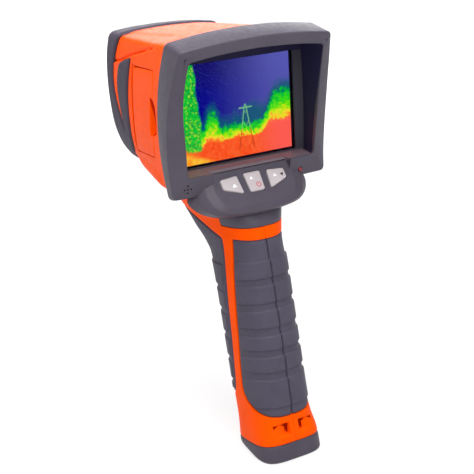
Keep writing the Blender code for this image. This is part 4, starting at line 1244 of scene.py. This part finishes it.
def port_door():
    door = head_skin("door", stations(2, 54, 0.5), 0.0, 480, door_detail)
    blank = prism("plate", door_plate_line, *LEFT_WALL)
    knuckle = rod("knuckle", along_pin(0.015), along_pin(0.985), KNUCKLE_R, 40)
    join(blank, knuckle)
    keep(door, blank)
    back = head_skin("door_back", COARSE_HEAD, -2.0)
    cut(back, rod("knuckle_keep", along_pin(-0.2), along_pin(1.2), KNUCKLE_R + 0.01, 40))
    notch_back = prism("notch_back", grown(notch_line, 0.6), *LEFT_WALL)
    cut(back, cut(notch_back, head_skin("notch_floor", COARSE_HEAD, -4.2)))
    cut(door, back)
    cut(door, rod("pin_hole", along_pin(-0.08), along_pin(1.08), DOOR_PIN_R + 0.1, 24))
    wear(smooth(door, 32), orange_skin, "port_door", "port_door")
    pin = rod("pin", along_pin(0.0), along_pin(1.0), DOOR_PIN_R, 32)
    keep(pin, head_skin("trim", COARSE_HEAD, -0.05))
    wear(smooth(pin, 40), orange_skin, "housing", "door_hinge_pin")


port_door()


# --- battery cap and trigger
def cap_detail(points):
    """The cap's upper edge beside the case and the round of its lower edge."""
    move = near(points[:, 2] - foot_line(points[:, 1]) + GAP, 0.9, 0.4)
    low = np.clip(1 - (points[:, 2] - FOOT_BOTTOM) / FOOT_EDGE, 0, 1)
    return move - FOOT_EDGE * (1 - np.sqrt(np.maximum(0.0, 1 - low**2)))


def battery_cap():
    edge = FOOT_BOTTOM + FOOT_EDGE * (1 - np.cos(np.linspace(0.0, math.pi / 2, 8)))
    heights = np.concatenate((edge, stations(-186.2, -174, 0.4)))
    cap = handle_skin("foot_cap", heights, 0.0, 260, cap_detail)
    keep(cap, foot_region("cap_region", GAP))
    wear(smooth(cap, 34), dark_skin, "battery", "battery_cap")


TRIGGER_SIDE = (
    (11, -67.2, 0.8), (22, -66.6, 2), (27.5, -68.6, 1.5), (27.4, -74, 2.5), (25.2, -79, 3), (25.4, -85, 3),
    (27.4, -89, 1.2), (24.5, -90.2, 1.2), (21.4, -86, 2), (20.4, -83.5, 0.8), (12.2, -83.5, 0.6),
    (12.2, -80, 0.6), (18.5, -79.5, 2), (15.5, -73.5, 2), (11, -72, 0.8),
)


def trigger():
    outline = eased(TRIGGER_SIDE, 5)
    steps = []
    edge = ((5.3, 0.9), (5.12, 0.45), (4.85, 0.18), (4.4, 0.0))
    for x, inset in [(-x, inset) for x, inset in edge] + list(reversed(edge)):
        steps.append(section(grown(outline, -inset), x, 0))
    piece = loft("finger_lever", steps)
    cut(piece, rod("bore", (-9, *TRIGGER_PIVOT), (9, *TRIGGER_PIVOT), TRIGGER_BORE))
    wear(smooth(piece, 40), trigger_skin, "trigger", "trigger")


battery_cap()
trigger()


# --- lens group
def focus_ring():
    """A rubber ring with fine ribs round it and one taller tab."""
    profile = fillet([(16.85, 85.5), (21.4, 85.5), (22.0, 86.1), (22.0, 90.1), (21.4, 90.7), (16.85, 90.7)],
                     [0.15, 0.3, 0.3, 0.3, 0.3, 0.15], 2)
    turn = np.linspace(0, 2 * math.pi, 432, endpoint=False)
    ribs = 0.45 * (0.5 + 0.5 * np.cos(turn * 72))
    rings = []
    for r, y in profile:
        radius = r - ribs * ramp(np.array([r]), 20.8, 21.6)[0]
        rings.append(section(np.stack((radius * np.cos(turn), LENS_Z + radius * np.sin(turn)), 1), y, 1))
    ring = loft("ribbed_ring", rings, loop=True)
    tab = block("tab", (-2.2, 86.3, LENS_Z + 20.5), (2.2, 89.9, LENS_Z + 23.6), 0.5)
    join(ring, tab)
    wear(smooth(ring, 40), knurl_skin, "focus_ring", "focus_ring")


def lens_group():
    barrel = turned("barrel", ((14, 48.5), (17.5, 48.5), (17.5, 83.7), (23, 83.7), (23, 85.2), (16.5, 85.2),
                               (16.5, 91), (14, 91)), 0.3)
    wear(smooth(barrel, 40), black_skin, "housing", "lens_barrel")
    retainer = turned("retainer", ((13.4, 91.3), (20.4, 91.3), (20.4, 92.3), (14.6, 92.3)), 0.25)
    wear(smooth(retainer, 40), black_skin, "housing", "lens_retainer")
    dome = [(r, 89.1 - (90 - math.sqrt(90 * 90 - r * r))) for r in (13.6, 12, 10, 8, 6, 4, 2, 0.4)]
    glass = turned("objective", [(0.4, 84.8), (13.6, 84.8)] + dome, 0.0)
    wear(smooth(glass, 40), lens_skin, "housing", "front_lens")


def bezel():
    plate = head_skin("bezel", (80.4, 82.6, 83.1, 83.4), -3.2, 300,
                      lambda p: -0.6 * ramp(p[:, 1], 82.5, 83.4))
    cut(plate, rod("lens_hole", (0, 70, LENS_Z), (0, 95, LENS_Z), 17.9, 96))
    for x, z, radius in ((-12.0, -26.0, 5.3), (12.0, -26.0, 5.3), (0.0, -31.0, 2.9)):
        cut(plate, rod("aid_hole", (x, 70, z), (x, 95, z), radius, 48))
    wear(smooth(plate, 34), black_skin, "housing", "front_bezel")


focus_ring()
lens_group()
bezel()


# --- finishes of the CAD nodes that stay
FINISH = {
    "screen_window": glass_skin, "display_panel": picture_skin, "window_gasket": knurl_skin,
    "display_bracket": core_skin, "main_board": board_skin, "port_board": board_skin,
    "keypad_board": board_skin, "keypad_membrane": rubber_skin, "status_led": red_glow,
    "speaker": black_skin, "visible_camera": lens_skin, "lamp_led": lamp_skin, "laser_module": metal_skin,
    "rear_lens": lens_skin, "detector_core": core_skin, "shutter_frame": black_skin,
    "shutter_blade": black_skin, "usb_socket": metal_skin, "video_socket": black_skin,
    "power_jack": black_skin, "memory_card": card_skin, "trigger_pin": metal_skin,
    "trigger_switch": black_skin, "battery_pack": black_skin, "battery_contacts": metal_skin,
}
for name, obj in nodes.items():
    material = metal_skin if name.startswith("case_screw") else FINISH.get(name)
    if material:
        coat(obj, material)


# --- floor, light and camera
def floor_material():
    """Pale, and lit from within towards the far edge, so that it runs into the backdrop."""
    n = Nodes("floor")
    far = Field(n, n.add("ShaderNodeVectorMath", {0: n.place}, operation="LENGTH").outputs["Value"])
    return n.finish({
        "Base Color": n.mix(n.noise(3.0), (0.24, 0.24, 0.245, 1), (0.27, 0.27, 0.275, 1)),
        "Roughness": n.spread(30.0, 0.6, 0.75), "Specular IOR Level": 0.1,
        "Emission Color": (1, 1, 1, 1), "Emission Strength": n.step(far, 0.2, 1.6, 0.7, 0.95),
    })


ground = bpy.data.meshes.new("floor")
ground.from_pydata([(-6, -6, 0), (6, -6, 0), (6, 6, 0), (-6, 6, 0)], [], [(0, 1, 2, 3)])
floor = placed("floor", ground)
floor.data.materials.append(floor_material())


def studio_world():
    """Soft white surroundings, brightest at the horizon, so that the floor runs into them."""
    studio = bpy.data.worlds.new("studio")
    studio.use_nodes = True
    tree = studio.node_tree
    place = tree.nodes.new("ShaderNodeTexCoord")
    part = tree.nodes.new("ShaderNodeSeparateXYZ")
    tree.links.new(place.outputs["Generated"], part.inputs[0])
    fall = tree.nodes.new("ShaderNodeMapRange")
    fall.interpolation_type = "SMOOTHSTEP"
    tree.links.new(part.outputs["Z"], fall.inputs["Value"])
    for key, value in (("From Min", 0.0), ("From Max", 0.30), ("To Min", 0.82), ("To Max", 0.22)):
        fall.inputs[key].default_value = value
    backdrop = tree.nodes["Background"]
    backdrop.inputs["Color"].default_value = (1.0, 0.98, 0.99, 1)
    tree.links.new(fall.outputs["Result"], backdrop.inputs["Strength"])
    bpy.context.scene.world = studio


studio_world()


def area(name, at, size, power):
    """A soft light that faces the object's middle."""
    data = bpy.data.lights.new(name, "AREA")
    data.shape = "RECTANGLE"
    data.size, data.size_y = size
    data.energy = power
    obj = placed(name, data)
    obj.location = at
    obj.rotation_euler = (Vector((0, 0, 0.13)) - Vector(at)).to_track_quat("-Z", "Y").to_euler()


area("overhead", (-0.1, 0.0, 1.1), (0.9, 0.9), 16.0)
area("rear_top", (-0.15, -0.85, 0.95), (0.9, 0.9), 8.5)
area("front_right", (0.75, 1.3, 0.55), (1.3, 0.7), 11.5)
area("left", (-1.1, -0.1, 0.4), (0.9, 0.9), 0.7)

# The camera that was fitted to the display's corners and the matching points of both sides.
turn, tilt, roll = math.radians(28.3934), math.radians(18.9443), math.radians(-3.3179)
forward = Vector((math.sin(turn) * math.cos(tilt), math.cos(turn) * math.cos(tilt), -math.sin(tilt)))
level = Vector((math.cos(turn), -math.sin(turn), 0.0))
lift = level.cross(forward)
right = level * math.cos(roll) + lift * math.sin(roll)
up = lift * math.cos(roll) - level * math.sin(roll)
view = bpy.data.cameras.new("camera")
view.lens = 83.54
view.sensor_width = 36.0
view.clip_start = 0.01
camera = placed("camera", view)
facing = Matrix((right, up, -forward)).transposed().to_4x4()
camera.matrix_world = Matrix.Translation((-0.277, -0.478, 0.3141)) @ facing
bpy.context.scene.camera = camera
bpy.context.scene.view_settings.view_transform = "Standard"
